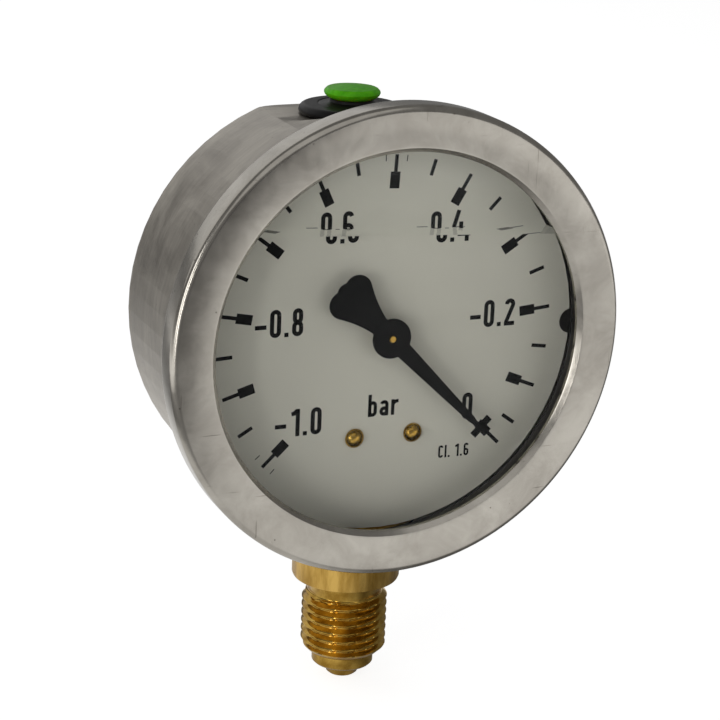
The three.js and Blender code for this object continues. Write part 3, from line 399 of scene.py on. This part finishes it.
def green_plastic():
    """Bright green moulded plastic with a pebbled top."""
    surface = Surface("cap_green", (0.05, 0.42, 0.01), 0.4, Subsurface_Weight=0.08, Specular_IOR_Level=0.2)
    pebbles = surface.node("ShaderNodeTexVoronoi", feature="SMOOTH_F1")
    pebbles.inputs["Scale"].default_value = 1.7
    surface.link(surface.position(), pebbles.inputs["Vector"])
    shade = surface.noise(surface.position(), 0.8, 4.0)
    surface.tint(surface.ramp(shade, 0.3, 0.7), (0.075, 0.47, 0.002), (0.14, 0.66, 0.005))
    surface.rough(shade, 0.3, 0.5)
    surface.relief(pebbles.outputs["Distance"], 0.12, 0.6)
    return surface.material


def clear(name, index, tint):
    """Clear glass-like material with very slight unevenness and smears."""
    surface = Surface(name, tint, 0.0, Transmission_Weight=1.0, IOR=index, Specular_Tint=(0.2, 0.2, 0.2, 1.0))
    smears = surface.noise(surface.position(), 0.2, 4.0)
    surface.rough(surface.ramp(smears, 0.6, 0.9), 0.0, 0.03)
    return surface.material


def wetted():
    """The window's wetted face, which bends no light, because plastic and liquid match."""
    material = bpy.data.materials.new("wetted_face")
    material.use_nodes = True
    tree = material.node_tree
    tree.nodes.remove(tree.nodes["Principled BSDF"])
    through = tree.nodes.new("ShaderNodeBsdfTransparent")
    tree.links.new(through.outputs["BSDF"], tree.nodes["Material Output"].inputs["Surface"])
    return material


RING_STEEL = ring_steel()
CASE_STEEL = case_steel()
THREAD_BRASS = turned_brass("thread_brass", 5.0, 0.14)
FINE_BRASS = turned_brass("fine_brass", 9.0, 0.22)
COLLAR_BRASS = milled_brass()
BRONZE = bronze_strip()
MACHINED_STEEL = machined_steel()
DIAL_PAINT = dial_paint()
POINTER_BLACK = black_paint("pointer_black", 0.55)
PRINT_BLACK = black_paint("print_black", 0.6)
RUBBER = black_rubber()
GREEN = green_plastic()
WINDOW_CLEAR = clear("window_acrylic", 1.49, (0.99, 0.995, 0.99))
LIQUID_CLEAR = clear("glycerine", 1.47, (0.985, 0.99, 0.975))
WETTED = wetted()

# ---- CAD nodes that stay, with their finishes --------------------------------------------------

KEPT = {
    "dial": DIAL_PAINT,
    "dial_spacer_left": FINE_BRASS,
    "dial_spacer_right": FINE_BRASS,
    "pointer_bush": FINE_BRASS,
    "pinion_shaft": FINE_BRASS,
    "sector_gear": FINE_BRASS,
    "sector_arbor": MACHINED_STEEL,
    "hairspring": BRONZE,
    "hairspring_collet": FINE_BRASS,
    "hairspring_stud": FINE_BRASS,
    "movement_front_plate": FINE_BRASS,
    "movement_rear_plate": FINE_BRASS,
    "pillar_left": FINE_BRASS,
    "pillar_right": FINE_BRASS,
    "pillar_screw_left": FINE_BRASS,
    "pillar_screw_right": FINE_BRASS,
    "movement_screw_left": MACHINED_STEEL,
    "movement_screw_right": MACHINED_STEEL,
    "bourdon_tube": BRONZE,
    "tube_tip": FINE_BRASS,
    "link": FINE_BRASS,
    "link_pin_sector": MACHINED_STEEL,
    "link_pin_tube": MACHINED_STEEL,
    "stem_seal": RUBBER,
    "stem_retaining_ring": MACHINED_STEEL,
    "restrictor_screw": FINE_BRASS,
    "pointer": POINTER_BLACK,
}


def finish_kept(node, look):
    kept = nodes[node]
    kept.data.materials.clear()
    kept.data.materials.append(look)
    kept.data.polygons.foreach_set("use_smooth", [True] * len(kept.data.polygons))
    kept.data.set_sharp_from_angle(angle=SMOOTH_ANGLE)


for node_name, node_look in KEPT.items():
    finish_kept(node_name, node_look)


def smooth_piece(node, name, look, slot_name):
    """A round CAD solid again, with its facets joined so that it shades as one smooth surface."""
    joined = bmesh.new()
    joined.from_mesh(nodes[node].data)
    bmesh.ops.remove_doubles(joined, verts=joined.verts, dist=MERGE_DISTANCE * MM)
    mesh = bpy.data.meshes.new(name)
    joined.to_mesh(mesh)
    joined.free()
    mesh.materials.clear()
    mesh.materials.append(look)
    mesh.polygons.foreach_set("material_index", [0] * len(mesh.polygons))
    mesh.polygons.foreach_set("use_smooth", [True] * len(mesh.polygons))
    mesh.set_sharp_from_angle(angle=SMOOTH_ANGLE)
    piece = bpy.data.objects.new(name, mesh)
    bpy.context.scene.collection.objects.link(piece)
    return settle(piece, BODY, slot_name, node)


smooth_piece("case", "case_satin", CASE_STEEL, "satin_steel")
smooth_piece("dial_screw_left", "dial_screw_left_turned", FINE_BRASS, "brass")
smooth_piece("dial_screw_right", "dial_screw_right_turned", FINE_BRASS, "brass")

# ---- Bezel ring --------------------------------------------------------------------------------

RING_WALL = 0.7
RING_REAR_LIP = 0.5
RING_SHOULDER = 1.0
LIP_RADIUS = 27.9
LIP_SLOPE_WIDTH = 0.8
LIP_SLOPE_DEPTH = 0.6
LIP_EDGE = 0.12  # how far the lip's inner edge is rounded
LIP_EDGE_RISE = 0.2  # share of that rounding which lies in front of the slope's foot
SLOPE_BLEND = 0.15  # the slope meets the face over this width on either side
SLOPE_BLEND_DEPTH = 0.05
REAR_LIP_RADIUS = 31.7


def make_ring():
    inside = RING_RADIUS - RING_WALL
    slope = LIP_RADIUS + LIP_SLOPE_WIDTH
    foot = RING_FRONT + LIP_SLOPE_DEPTH
    profile = [(LIP_RADIUS, foot + LIP_EDGE)]
    profile += [(LIP_RADIUS + LIP_EDGE, foot - LIP_EDGE * LIP_EDGE_RISE)]
    profile += [(slope - SLOPE_BLEND, RING_FRONT + SLOPE_BLEND_DEPTH), (slope + SLOPE_BLEND, RING_FRONT)]
    profile += arc((RING_RADIUS - RING_SHOULDER, RING_FRONT + RING_SHOULDER), RING_SHOULDER, -90, 0, 10)
    profile += arc((inside, RING_REAR - RING_WALL), RING_WALL, 0, 90, 8)
    profile += [(REAR_LIP_RADIUS, RING_REAR), (REAR_LIP_RADIUS, RING_REAR - RING_REAR_LIP)]
    profile += [(inside, RING_REAR - RING_REAR_LIP), (inside, RING_FRONT + RING_WALL)]
    profile += [(slope, RING_FRONT + RING_WALL), (LIP_RADIUS, foot + RING_WALL)]
    return settle(dial_lathe("bezel_ring_satin", profile, [RING_STEEL]), BODY, "satin_steel", "bezel_ring")


make_ring()

# ---- Gasket ------------------------------------------------------------------------------------

GASKET_BORE = 29.6
GASKET_OUTER = 30.7
GASKET_LEG = 0.35
GASKET_EDGE = 0.15


def make_gasket():
    front = gasket_low.y
    leg_rear = front + GASKET_LEG
    end = gasket_high.y
    outer = (gasket_high.z - gasket_low.z) / 2
    profile = [
        (GASKET_BORE, front), (outer, front), (outer, leg_rear), (GASKET_OUTER, leg_rear),
        (GASKET_OUTER, end), (GASKET_BORE + GASKET_EDGE, end), (GASKET_BORE, end - GASKET_EDGE),
    ]
    gasket = dial_lathe("gasket_rubber", profile, [RUBBER])
    return settle(gasket, BODY, "black_rubber", "window_gasket")


make_gasket()

# ---- Window and liquid -------------------------------------------------------------------------

LEVEL_HEIGHT = 15.6  # above the dial's centre, on the axis
LEVEL_TILT = -2.8  # degrees; the level falls to the right
LIQUID_RADIUS = 29.75
OPTIC_SEGMENTS = 256
DRY_SEGMENTS = 60  # of the pane's outline above the level
PANE_EDGE = 0.15
LIQUID_FRONT_GAP = 0.002
LIQUID_REAR_GAP = 0.05


def level_angles(radius):
    """The two angles at which the level line meets a circle about the dial's centre."""
    tilt = math.radians(LEVEL_TILT)
    half = math.acos(LEVEL_HEIGHT * math.cos(tilt) / radius)
    upright = math.pi / 2 + tilt
    return upright - half, upright + half


def circle_point(radius, angle, y):
    return (radius * math.cos(angle), y, CENTRE_Z + radius * math.sin(angle))


def make_window():
    """A disc whose rear face is split at the level line into a dry and a wetted part."""
    radius = (window_high.z - window_low.z) / 2
    front = window_low.y
    rear = window_high.y
    edge = PANE_EDGE
    right, left = level_angles(radius)
    above = DRY_SEGMENTS
    below = OPTIC_SEGMENTS - above
    angles = [right + (left - right) * i / above for i in range(above)]
    angles += [left + (2 * math.pi - (left - right)) * i / below for i in range(below)]
    rings = [(radius - edge, front), (radius, front + edge), (radius, rear - edge), (radius, rear)]
    verts = [circle_point(size, angle, y) for size, y in rings for angle in angles]
    count = len(angles)
    faces = [tuple(range(count))]
    slots = [0]
    for ring in range(len(rings) - 1):
        for i in range(count):
            j = (i + 1) % count
            here = ring * count
            faces.append((here + i, here + j, here + count + j, here + count + i))
            slots.append(0)
    last = (len(rings) - 1) * count
    dry = [last + i for i in range(above + 1)]
    wet = [last + i for i in range(above, count)] + [last]
    faces += [tuple(dry), tuple(wet)]
    slots += [0, 1]
    pane = finish_mesh("window_pane", verts, faces, [WINDOW_CLEAR, WETTED], slots)
    pane.visible_shadow = False
    return settle(pane, BODY, "clear_window", "window")


def make_liquid():
    """The liquid from the window back to the dial, flat on top, with its front face wetting the window."""
    front = window_high.y + LIQUID_FRONT_GAP
    rear = DIAL_FACE + LIQUID_REAR_GAP
    right, left = level_angles(LIQUID_RADIUS)
    below = OPTIC_SEGMENTS
    angles = [left + (2 * math.pi - (left - right)) * i / below for i in range(below + 1)]
    count = len(angles)
    depths = [front, rear]
    verts = [circle_point(LIQUID_RADIUS, angle, y) for y in depths for angle in angles]
    faces = [tuple(range(count)), tuple(range(count, 2 * count))]
    slots = [1, 0]
    for i in range(count - 1):
        faces.append((i, i + 1, count + i + 1, count + i))
        slots.append(0)
    faces.append((count - 1, 0, count, 2 * count - 1))
    slots.append(0)
    liquid = finish_mesh("glycerine_body", verts, faces, [LIQUID_CLEAR, WETTED], slots)
    liquid.visible_shadow = False
    return settle(liquid, BODY, "glycerine", "glycerine_fill")


make_window()
make_liquid()

# ---- Dial printing -----------------------------------------------------------------------------

PRINT_THICKNESS = 0.015
PRINT_Y = DIAL_FACE - PRINT_THICKNESS
MARK_OUTER = 26.05
BLOCK_OUTER = 23.56
BLOCK_INNER = 21.14
BLOCK_WIDTH = 1.5
LINE_WIDTH = 0.55
MINOR_INNER = 23.64
FULL_VACUUM_ANGLE = 224.0
MAJOR_STEP = 27.3
EVEN_MARKS = 19  # major and minor marks from full vacuum to the last even one
LAST_MINOR_ANGLE = -35.6
HALF_SCALE_STEPS = 5
DIGIT_HEIGHT = 4.1
ZERO_ANGLE = -44.0
ZERO_BAR_WIDTH = 3.7  # a bar across the zero mark shows the tolerance at rest
ZERO_BAR_DEPTH = 1.2
ZERO_BAR_MIDDLE = 22.0
TICK_INNER = 25.1
TICK_OUTER = 26.0
TICK_ANGLE = 3.7
TICK_WIDTH = 0.14


def mark(angle, outer, inner, width):
    """A radial stroke on the dial, as corner points in the dial's plane."""
    turn = math.radians(angle)
    along = Vector((math.cos(turn), math.sin(turn)))
    across = Vector((-along.y, along.x)) * (width / 2)
    return [along * inner - across, along * outer - across, along * outer + across, along * inner + across]


def print_strokes(name, strokes):
    """One flat printed mesh from a list of outlines in the dial's plane."""
    verts = []
    faces = []
    for outline in strokes:
        start = len(verts)
        verts += [(p[0], PRINT_Y, CENTRE_Z + p[1]) for p in outline]
        faces.append(tuple(range(start, start + len(outline))))
    printed = finish_mesh(name, verts, faces, [PRINT_BLACK])
    return settle(printed, BODY, "pointer_black")


def scale_angles():
    """(angle, is_major) of each mark. The last tenth before zero is drawn closer together."""
    marks = []
    for step in range(EVEN_MARKS):
        marks.append((FULL_VACUUM_ANGLE - step * MAJOR_STEP / 2, step % 2 == 0))
    marks.append((LAST_MINOR_ANGLE, False))
    marks.append((ZERO_ANGLE, True))
    return marks


def make_scale():
    strokes = []
    for angle, major in scale_angles():
        inner = BLOCK_OUTER if major else MINOR_INNER
        strokes.append(mark(angle, MARK_OUTER, inner, LINE_WIDTH))
        if major:
            strokes.append(mark(angle, BLOCK_OUTER, BLOCK_INNER, BLOCK_WIDTH))
    middle = ZERO_BAR_DEPTH / 2
    strokes.append(mark(ZERO_ANGLE, ZERO_BAR_MIDDLE + middle, ZERO_BAR_MIDDLE - middle, ZERO_BAR_WIDTH))
    for angle in (FULL_VACUUM_ANGLE, FULL_VACUUM_ANGLE - HALF_SCALE_STEPS * MAJOR_STEP):
        strokes.append(mark(angle - TICK_ANGLE, TICK_OUTER, TICK_INNER, TICK_WIDTH))
        strokes.append(mark(angle + TICK_ANGLE, TICK_OUTER, TICK_INNER, TICK_WIDTH))
    print_strokes("scale_marks", strokes)


def stroke_path(points, width):
    """Outlines of the four-sided pieces of a stroke that follows these points, joined by mitres."""
    edges = []
    for i, point in enumerate(points):
        before = (points[i] - points[i - 1]).normalized() if i > 0 else None
        after = (points[i + 1] - points[i]).normalized() if i < len(points) - 1 else None
        first = before or after
        second = after or before
        normal = Vector((-(first + second).y, (first + second).x)).normalized()
        reach = width / 2 / max(0.5, normal.dot(Vector((-first.y, first.x))))
        edges.append((point - normal * reach, point + normal * reach))
    return [[a[0], b[0], b[1], a[1]] for a, b in zip(edges, edges[1:])]


def bow(centre_x, centre_z, radius_x, radius_z, start, end, steps=10):
    """Points on an ellipse's arc, angles in degrees."""
    points = []
    for step in range(steps + 1):
        angle = math.radians(start + (end - start) * step / steps)
        points.append(Vector((centre_x + radius_x * math.cos(angle), centre_z + radius_z * math.sin(angle))))
    return points


GLYPH_WEIGHT = 0.155  # stroke width, as a share of the digit's height
GLYPH_WIDTH = 0.41
GLYPH_SPACE = 0.125


def loop(low, high, left=0.0, right=GLYPH_WIDTH):
    """A closed upright loop with straight sides, as in narrow lettering."""
    half = GLYPH_WEIGHT / 2
    reach = (right - left) / 2 - half
    middle = (left + right) / 2
    top = bow(middle, high - half - reach, reach, reach, 0, 180)
    foot = bow(middle, low + half + reach, reach, reach, 180, 360)
    return top + foot + [top[0]]


def glyph_paths(letter):
    """(strokes as centre lines, width) of one character, at a digit height of 1."""
    half = GLYPH_WEIGHT / 2
    width = GLYPH_WIDTH
    reach = width / 2 - half
    middle = width / 2
    low = Vector((half, half))
    if letter == "0":
        return [loop(0.0, 1.0)], width
    if letter == "1":
        stem_x = 0.30
        return [[Vector((stem_x, 0.0)), Vector((stem_x, 1.0))],
                [Vector((0.06, 0.82)), Vector((0.16, 0.84)), Vector((stem_x - 0.02, 0.95))]], 0.38
    if letter == "2":
        top = bow(middle, 1 - half - reach, reach, reach, 180, -20)
        return [top + [Vector((half, half + 0.05))], [Vector((0.0, half)), Vector((width, half))]], width
    if letter == "4":
        return [[Vector((0.26, 1.0)), Vector((0.05, 0.30))], [Vector((0.0, 0.27)), Vector((0.5, 0.27))],
                [Vector((0.36, 0.0)), Vector((0.36, 0.58))]], 0.5
    if letter == "6":
        hook = bow(middle, 1 - half - reach, reach, reach, 10, 180)
        return [hook + [low + Vector((0, 0.2))], loop(0.0, 0.58)], width
    if letter == "8":
        return [loop(0.44, 1.0, 0.015, width - 0.015), loop(0.0, 0.56)], width
    if letter == "-":
        return [[Vector((0.0, 0.40)), Vector((0.42, 0.40))]], 0.42
    if letter == ".":
        return [[Vector((half, 0.0)), Vector((half, GLYPH_WEIGHT))]], GLYPH_WEIGHT
    if letter == "b":
        return [[Vector((half, 0.0)), Vector((half, 1.0))], loop(0.0, 0.7)], width
    if letter == "a":
        top = bow(middle, 0.7 - half - reach, reach, reach, 160, 0)
        return [top + [Vector((width - half, 0.0))], loop(0.0, 0.42)], width
    if letter == "r":
        return [[Vector((half, 0.0)), Vector((half, 0.7))],
                bow(half + 0.24, 0.7 - half - 0.2, 0.24, 0.2, 170, 85, 6)], 0.36
    if letter == "C":
        top = bow(middle, 1 - half - reach, reach, reach, 0, 180)
        return [top + bow(middle, half + reach, reach, reach, 180, 360)], width
    if letter == "l":
        return [[Vector((half, 0.0)), Vector((half, 1.0))]], GLYPH_WEIGHT
    return [], 0.12


def print_words(name, words, left, base, height):
    """Printed words in narrow lettering, from their left end along a base line."""
    strokes = []
    along = 0.0
    for letter in words:
        paths, width = glyph_paths(letter)
        for path in paths:
            for outline in stroke_path(path, GLYPH_WEIGHT):
                strokes.append([(left + (along + p.x) * height, base + p.y * height) for p in outline])
        along += width + GLYPH_SPACE
    print_strokes(name, strokes)


LABELS = (
    ("label_full", "-1.0", -16.95, -13.9, DIGIT_HEIGHT),
    ("label_four_fifths", "-0.8", -20.35, 1.05, DIGIT_HEIGHT),
    ("label_three_fifths", "-0.6", -12.35, 14.1, DIGIT_HEIGHT),
    ("label_two_fifths", "-0.4", 4.7, 13.3, DIGIT_HEIGHT),
    ("label_one_fifth", "-0.2", 13.0, 0.05, DIGIT_HEIGHT),
    ("label_zero", "0", 12.5, -13.9, DIGIT_HEIGHT),
    ("label_unit", "bar", -2.6, -12.1, 3.4),
    ("label_class", "Cl. 1.6", 9.0, -19.6, 1.95),
)

make_scale()
for label in LABELS:
    print_words(*label)

# ---- Stem --------------------------------------------------------------------------------------

PITCH = 1.337
THREAD_RADIUS = 6.579
THREAD_ROOT = 5.72
THREAD_BOTTOM = 2.3
THREAD_TOP = 12.0
NECK_TOP = 14.5
COLLAR_RADIUS = 8.25
CUT_Z = 22.0  # below this the stem is remade, above it the CAD's own shape is kept
BORE_RADIUS = 1.8
STEM_SEGMENTS = 120
ROWS_PER_TURN = 12
ROOT_SHARE = 0.12  # of each half turn's rise, at the root
FLANK_SHARE = 0.76
THREAD_RELIEF = 0.1  # how far the thread's ends drop below its root
START_SLOPE = 1.0
END_SLOPE = 1.3
COLLAR_ROWS = 5  # rows of the outline, from its end, that have the collar's finish


def thread_radius(z, angle):
    """The thread's surface at a height and angle: rounded crests and roots, fading out at its ends."""
    phase = (z / PITCH - angle / (2 * math.pi)) % 1.0
    slope = 1.0 - abs(2.0 * phase - 1.0)
    rounded = min(1.0, max(0.0, (slope - ROOT_SHARE) / FLANK_SHARE))
    crest = THREAD_ROOT + (THREAD_RADIUS - THREAD_ROOT) * rounded
    lowest = THREAD_ROOT - THREAD_RELIEF
    start = lowest + (z - THREAD_BOTTOM) * START_SLOPE
    end = lowest + (THREAD_TOP - z) * END_SLOPE
    return max(lowest, min(crest, start, end))


def make_stem():
    """The turned connection, with its helical thread, below the CAD's flange and block."""
    rows = [
        (BORE_RADIUS, CUT_Z), (BORE_RADIUS, -1.8), (BORE_RADIUS + 0.2, -2.0), (2.1, -2.0), (2.45, -1.7),
        (2.45, -0.05), (2.5, 0.0), (4.5, 0.0), (4.75, 0.25), (4.75, 2.1), (4.7, THREAD_BOTTOM),
        (THREAD_ROOT - THREAD_RELIEF, THREAD_BOTTOM),
    ]
    count = int((THREAD_TOP - THREAD_BOTTOM) / PITCH * ROWS_PER_TURN)
    heights = [THREAD_BOTTOM + (THREAD_TOP - THREAD_BOTTOM) * i / count for i in range(count + 1)]
    above = [
        (THREAD_ROOT - 0.05, THREAD_TOP + 0.1), (5.72, THREAD_TOP + 0.2), (5.72, NECK_TOP - 0.15),
        (5.85, NECK_TOP), (COLLAR_RADIUS - 0.4, NECK_TOP), (COLLAR_RADIUS - 0.12, NECK_TOP + 0.12),
        (COLLAR_RADIUS, NECK_TOP + 0.4), (COLLAR_RADIUS, CUT_Z),
    ]
    verts = []
    for step in range(STEM_SEGMENTS):
        angle = 2 * math.pi * step / STEM_SEGMENTS
        ring = list(rows)
        ring += [(thread_radius(z, angle), z) for z in heights[1:-1]]
        ring += above
        verts += [(r * math.cos(angle), r * math.sin(angle), z) for r, z in ring]
    length = len(verts) // STEM_SEGMENTS
    collar_from = length - COLLAR_ROWS
    faces = []
    slots = []
    for step in range(STEM_SEGMENTS):
        here = step * length
        there = ((step + 1) % STEM_SEGMENTS) * length
        for i in range(length - 1):
            faces.append((here + i, here + i + 1, there + i + 1, there + i))
            slots.append(1 if i >= collar_from else 0)
    lower = finish_mesh("stem_turned", verts, faces, [THREAD_BRASS, COLLAR_BRASS], slots)
    upper = bmesh.new()
    upper.from_mesh(nodes["stem"].data)
    bmesh.ops.remove_doubles(upper, verts=upper.verts, dist=MERGE_DISTANCE * MM)
    geometry = upper.verts[:] + upper.edges[:] + upper.faces[:]
    bmesh.ops.bisect_plane(
        upper, geom=geometry, plane_co=(0, 0, CUT_Z * MM), plane_no=(0, 0, 1), clear_inner=True
    )
    for face in upper.faces:
        face.material_index = 1
    upper.from_mesh(lower.data)
    upper.to_mesh(lower.data)
    upper.free()
    lower.data.set_sharp_from_angle(angle=SMOOTH_ANGLE)
    return settle(lower, BODY, "brass", "stem")


make_stem()

# ---- Filling plug and vent cap -----------------------------------------------------------------

PLUG_HEIGHT = 1.45
PLUG_BOSS_HEIGHT = 0.7
PLUG_BOSS_RADIUS = 3.3
PLUG_NECK_RADIUS = 6.4
PLUG_EDGE = 1.05
PLUG_BORE = 1.45
PLUG_BULB_REACH = 0.7
PLUG_BULB_WIDEST = 1.1  # height above the plug's foot
PLUG_BULB_TOP = 1.6
CAP_HEIGHT = 2.0
CAP_STEM_RADIUS = 1.3
CAP_STEM_EDGE = 0.1
NEAR_AXIS = 0.001  # a lathe's profile starts and ends just off its axis
CAP_OUTLINE = (  # share of the cap's radius, height above its underside
    (0.66, 0.0), (0.74, 0.05), (0.88, 0.3), (0.965, 0.62), (1.0, 0.95), (0.99, 1.2), (0.95, 1.4),
    (0.91, 1.56), (0.86, 1.66), (0.82, 1.66), (0.76, 1.68), (0.6, 1.79), (0.35, 1.92), (0.15, 1.99),
)


def make_plug():
    """The rubber plug, with a rounded edge, a shallow groove on top and a rim under the cap."""
    low, high = low_high("filler_plug")
    centre_y = (low.y + high.y) / 2
    radius = (high.x - low.x) / 2
    rim = high.z
    top = rim - PLUG_BOSS_HEIGHT
    seat = top - PLUG_HEIGHT
    bulb = PLUG_NECK_RADIUS + PLUG_BULB_REACH
    bulb_top = low.z + PLUG_BULB_TOP
    profile = [(PLUG_BORE, rim), (PLUG_BORE, low.z), (PLUG_NECK_RADIUS - 0.1, low.z)]
    profile += [(bulb, low.z + PLUG_BULB_WIDEST), (bulb, bulb_top)]
    profile += [(PLUG_NECK_RADIUS, bulb_top), (PLUG_NECK_RADIUS, seat)]
    profile += [(radius - 0.4, seat), (radius - 0.1, seat + 0.12)]
    profile += arc((radius - PLUG_EDGE, top - PLUG_EDGE), PLUG_EDGE, 0, 90, 10)
    profile += [(5.1, top + 0.1), (4.9, top - 0.02), (4.6, top + 0.12), (PLUG_BOSS_RADIUS + 0.3, top + 0.2)]
    profile += [(PLUG_BOSS_RADIUS, top + 0.35), (PLUG_BOSS_RADIUS - 0.1, rim)]
    plug = upright_lathe("filler_plug_rubber", profile, [RUBBER], centre_y)
    return settle(plug, BODY, "black_rubber", "filler_plug")


def make_cap():
    """The cap: a thick domed button with a rolled edge and a raised rim on its pebbled top."""
    low, high = low_high("vent_cap")
    centre_y = (low.y + high.y) / 2
    radius = (high.x - low.x) / 2
    top = high.z
    under = top - CAP_HEIGHT
    profile = [(NEAR_AXIS, low.z), (CAP_STEM_RADIUS - CAP_STEM_EDGE, low.z)]
    profile += [(CAP_STEM_RADIUS, low.z + CAP_STEM_EDGE), (CAP_STEM_RADIUS, under)]
    profile += [(radius * share, under + height) for share, height in CAP_OUTLINE]
    profile += [(NEAR_AXIS, top)]
    cap = upright_lathe("vent_cap_green", profile, [GREEN], centre_y, 96)
    return settle(cap, "vent_cap", "cap_green", "vent_cap")


make_plug()
make_cap()

# ---- Studio ------------------------------------------------------------------------------------

FLOOR_Z = -2.05
FLOOR_SIZE = 6000.0
FLOOR_WHITE = 0.86  # the floor's glow to the camera only, which sees it as over-lit white
TABLE_GLOW = 0.77  # painted glow that the gauge sees in the glowing part of the floor, in front and on its right
TABLE_SHADE = 0.03
TABLE_SLANT = 0.65  # the lit part's left edge runs forward and to the right
TABLE_RIGHT = (-100.0, -55.0)
TABLE_FRONT = (-35.0, -65.0)
TABLE_LEFT = (-140.0, -165.0)
TABLE_LEFT_GLOW = 1.0
TABLE_BACK = (35.0, 65.0)
TABLE_BACK_GLOW = 0.75
TABLE_BACK_LEFT = (-80.0, -30.0)
TABLE_NEAR = (78.0, 98.0)  # a patch of painted glow close to the stem, on its left
TABLE_NEAR_LEFT = (10.0, -12.0)
TABLE_NEAR_GLOW = 0.55
TABLE_FADE = (180.0, 480.0)
TABLE_FAR_SHARE = 0.2  # of the glow, where it has faded
WORLD_STRENGTH = 0.2
HEAD_TARGET = (0.0, 0.0, 50.0)
LIGHTS = (  # name, azimuth, elevation, distance, (width, height), radiance, the point it looks at
    ("overhead", -15, 50, 400, (420, 420), 0.42, HEAD_TARGET),
    ("key_left", -66, 6, 450, (110, 260), 3.2, HEAD_TARGET),
    ("strip_left", -46, 2, 330, (34, 150), 7.0, (0.0, 0.0, 30.0)),
    ("card_right", 46, -2, 360, (380, 150), 0.8, (0.0, 0.0, 20.0)),
    ("back_panel", 205, 30, 700, (1200, 560), 0.5, HEAD_TARGET),
)


def floor_material():
    """A pale floor with painted glow in patches round the gauge, that the camera sees as over-lit white."""
    surface = Surface("floor_white", (0.45, 0.45, 0.45), 0.8)
    where = surface.node("ShaderNodeSeparateXYZ")
    place = surface.position()
    surface.link(place, where.inputs["Vector"])
    across = where.outputs["X"]
    along = where.outputs["Y"]
    slanted = surface.combine("ADD", across, surface.combine("MULTIPLY", along, TABLE_SLANT))
    right = surface.ramp(slanted, *TABLE_RIGHT, TABLE_SHADE, TABLE_GLOW)
    front = surface.ramp(along, *TABLE_FRONT, 0.0, 1.0)
    left = surface.ramp(across, *TABLE_LEFT, 0.0, TABLE_LEFT_GLOW)
    back = surface.combine(
        "MULTIPLY",
        surface.ramp(along, *TABLE_BACK, 0.0, TABLE_BACK_GLOW),
        surface.ramp(across, *TABLE_BACK_LEFT),
    )
    ahead = surface.combine("MULTIPLY", right, front)
    side = surface.combine("ADD", ahead, surface.combine("ADD", left, back))
    reach = surface.node("ShaderNodeVectorMath", operation="LENGTH")
    surface.link(place, reach.inputs[0])
    near = surface.combine(
        "MULTIPLY",
        surface.ramp(reach.outputs["Value"], *TABLE_NEAR, TABLE_NEAR_GLOW, 0.0),
        surface.ramp(across, *TABLE_NEAR_LEFT),
    )
    side = surface.combine("MAXIMUM", side, near)
    fade = surface.ramp(reach.outputs["Value"], *TABLE_FADE, 1.0, TABLE_FAR_SHARE)
    table = surface.combine("MULTIPLY", side, fade)
    # Painted glow: every ray except the camera's sees the floor emit the patches above.
    path = surface.node("ShaderNodeLightPath")
    choice = surface.node("ShaderNodeMix")
    choice.inputs["B"].default_value = FLOOR_WHITE
    surface.link(path.outputs["Is Camera Ray"], choice.inputs["Factor"])
    surface.link(table, choice.inputs["A"])
    surface.shader.inputs["Emission Color"].default_value = (1.0, 1.0, 1.0, 1.0)
    surface.link(choice.outputs["Result"], surface.shader.inputs["Emission Strength"])
    return surface.material


def make_floor():
    half = FLOOR_SIZE / 2
    corners = [(-half, -half, FLOOR_Z), (half, -half, FLOOR_Z), (half, half, FLOOR_Z), (-half, half, FLOOR_Z)]
    floor = finish_mesh("floor", corners, [(0, 1, 2, 3)], [floor_material()])


def soft_light(name, azimuth, elevation, distance, size, radiance, target):
    """A rectangular area light that looks at the gauge from this direction, as bright as radiance."""
    _, _, back = view_axes(azimuth, elevation, 0.0)
    data = bpy.data.lights.new(name, "AREA")
    data.shape = "RECTANGLE"
    data.size = size[0] * MM
    data.size_y = size[1] * MM
    data.energy = radiance * math.pi * data.size * data.size_y
    light = bpy.data.objects.new(name, data)
    light.visible_camera = False
    place = Vector(target) + back * distance
    facing = back.to_track_quat("Z", "Y").to_matrix().to_4x4()
    light.matrix_world = Matrix.Translation(place * MM) @ facing
    bpy.context.scene.collection.objects.link(light)


def make_world():
    world = bpy.data.worlds.new("studio")
    world.use_nodes = True
    sky = world.node_tree.nodes["Background"]
    sky.inputs["Color"].default_value = (1.0, 1.0, 1.0, 1.0)
    sky.inputs["Strength"].default_value = WORLD_STRENGTH
    bpy.context.scene.world = world
    bpy.context.scene.view_settings.view_transform = "Standard"


make_floor()
for light in LIGHTS:
    soft_light(*light)
make_world()
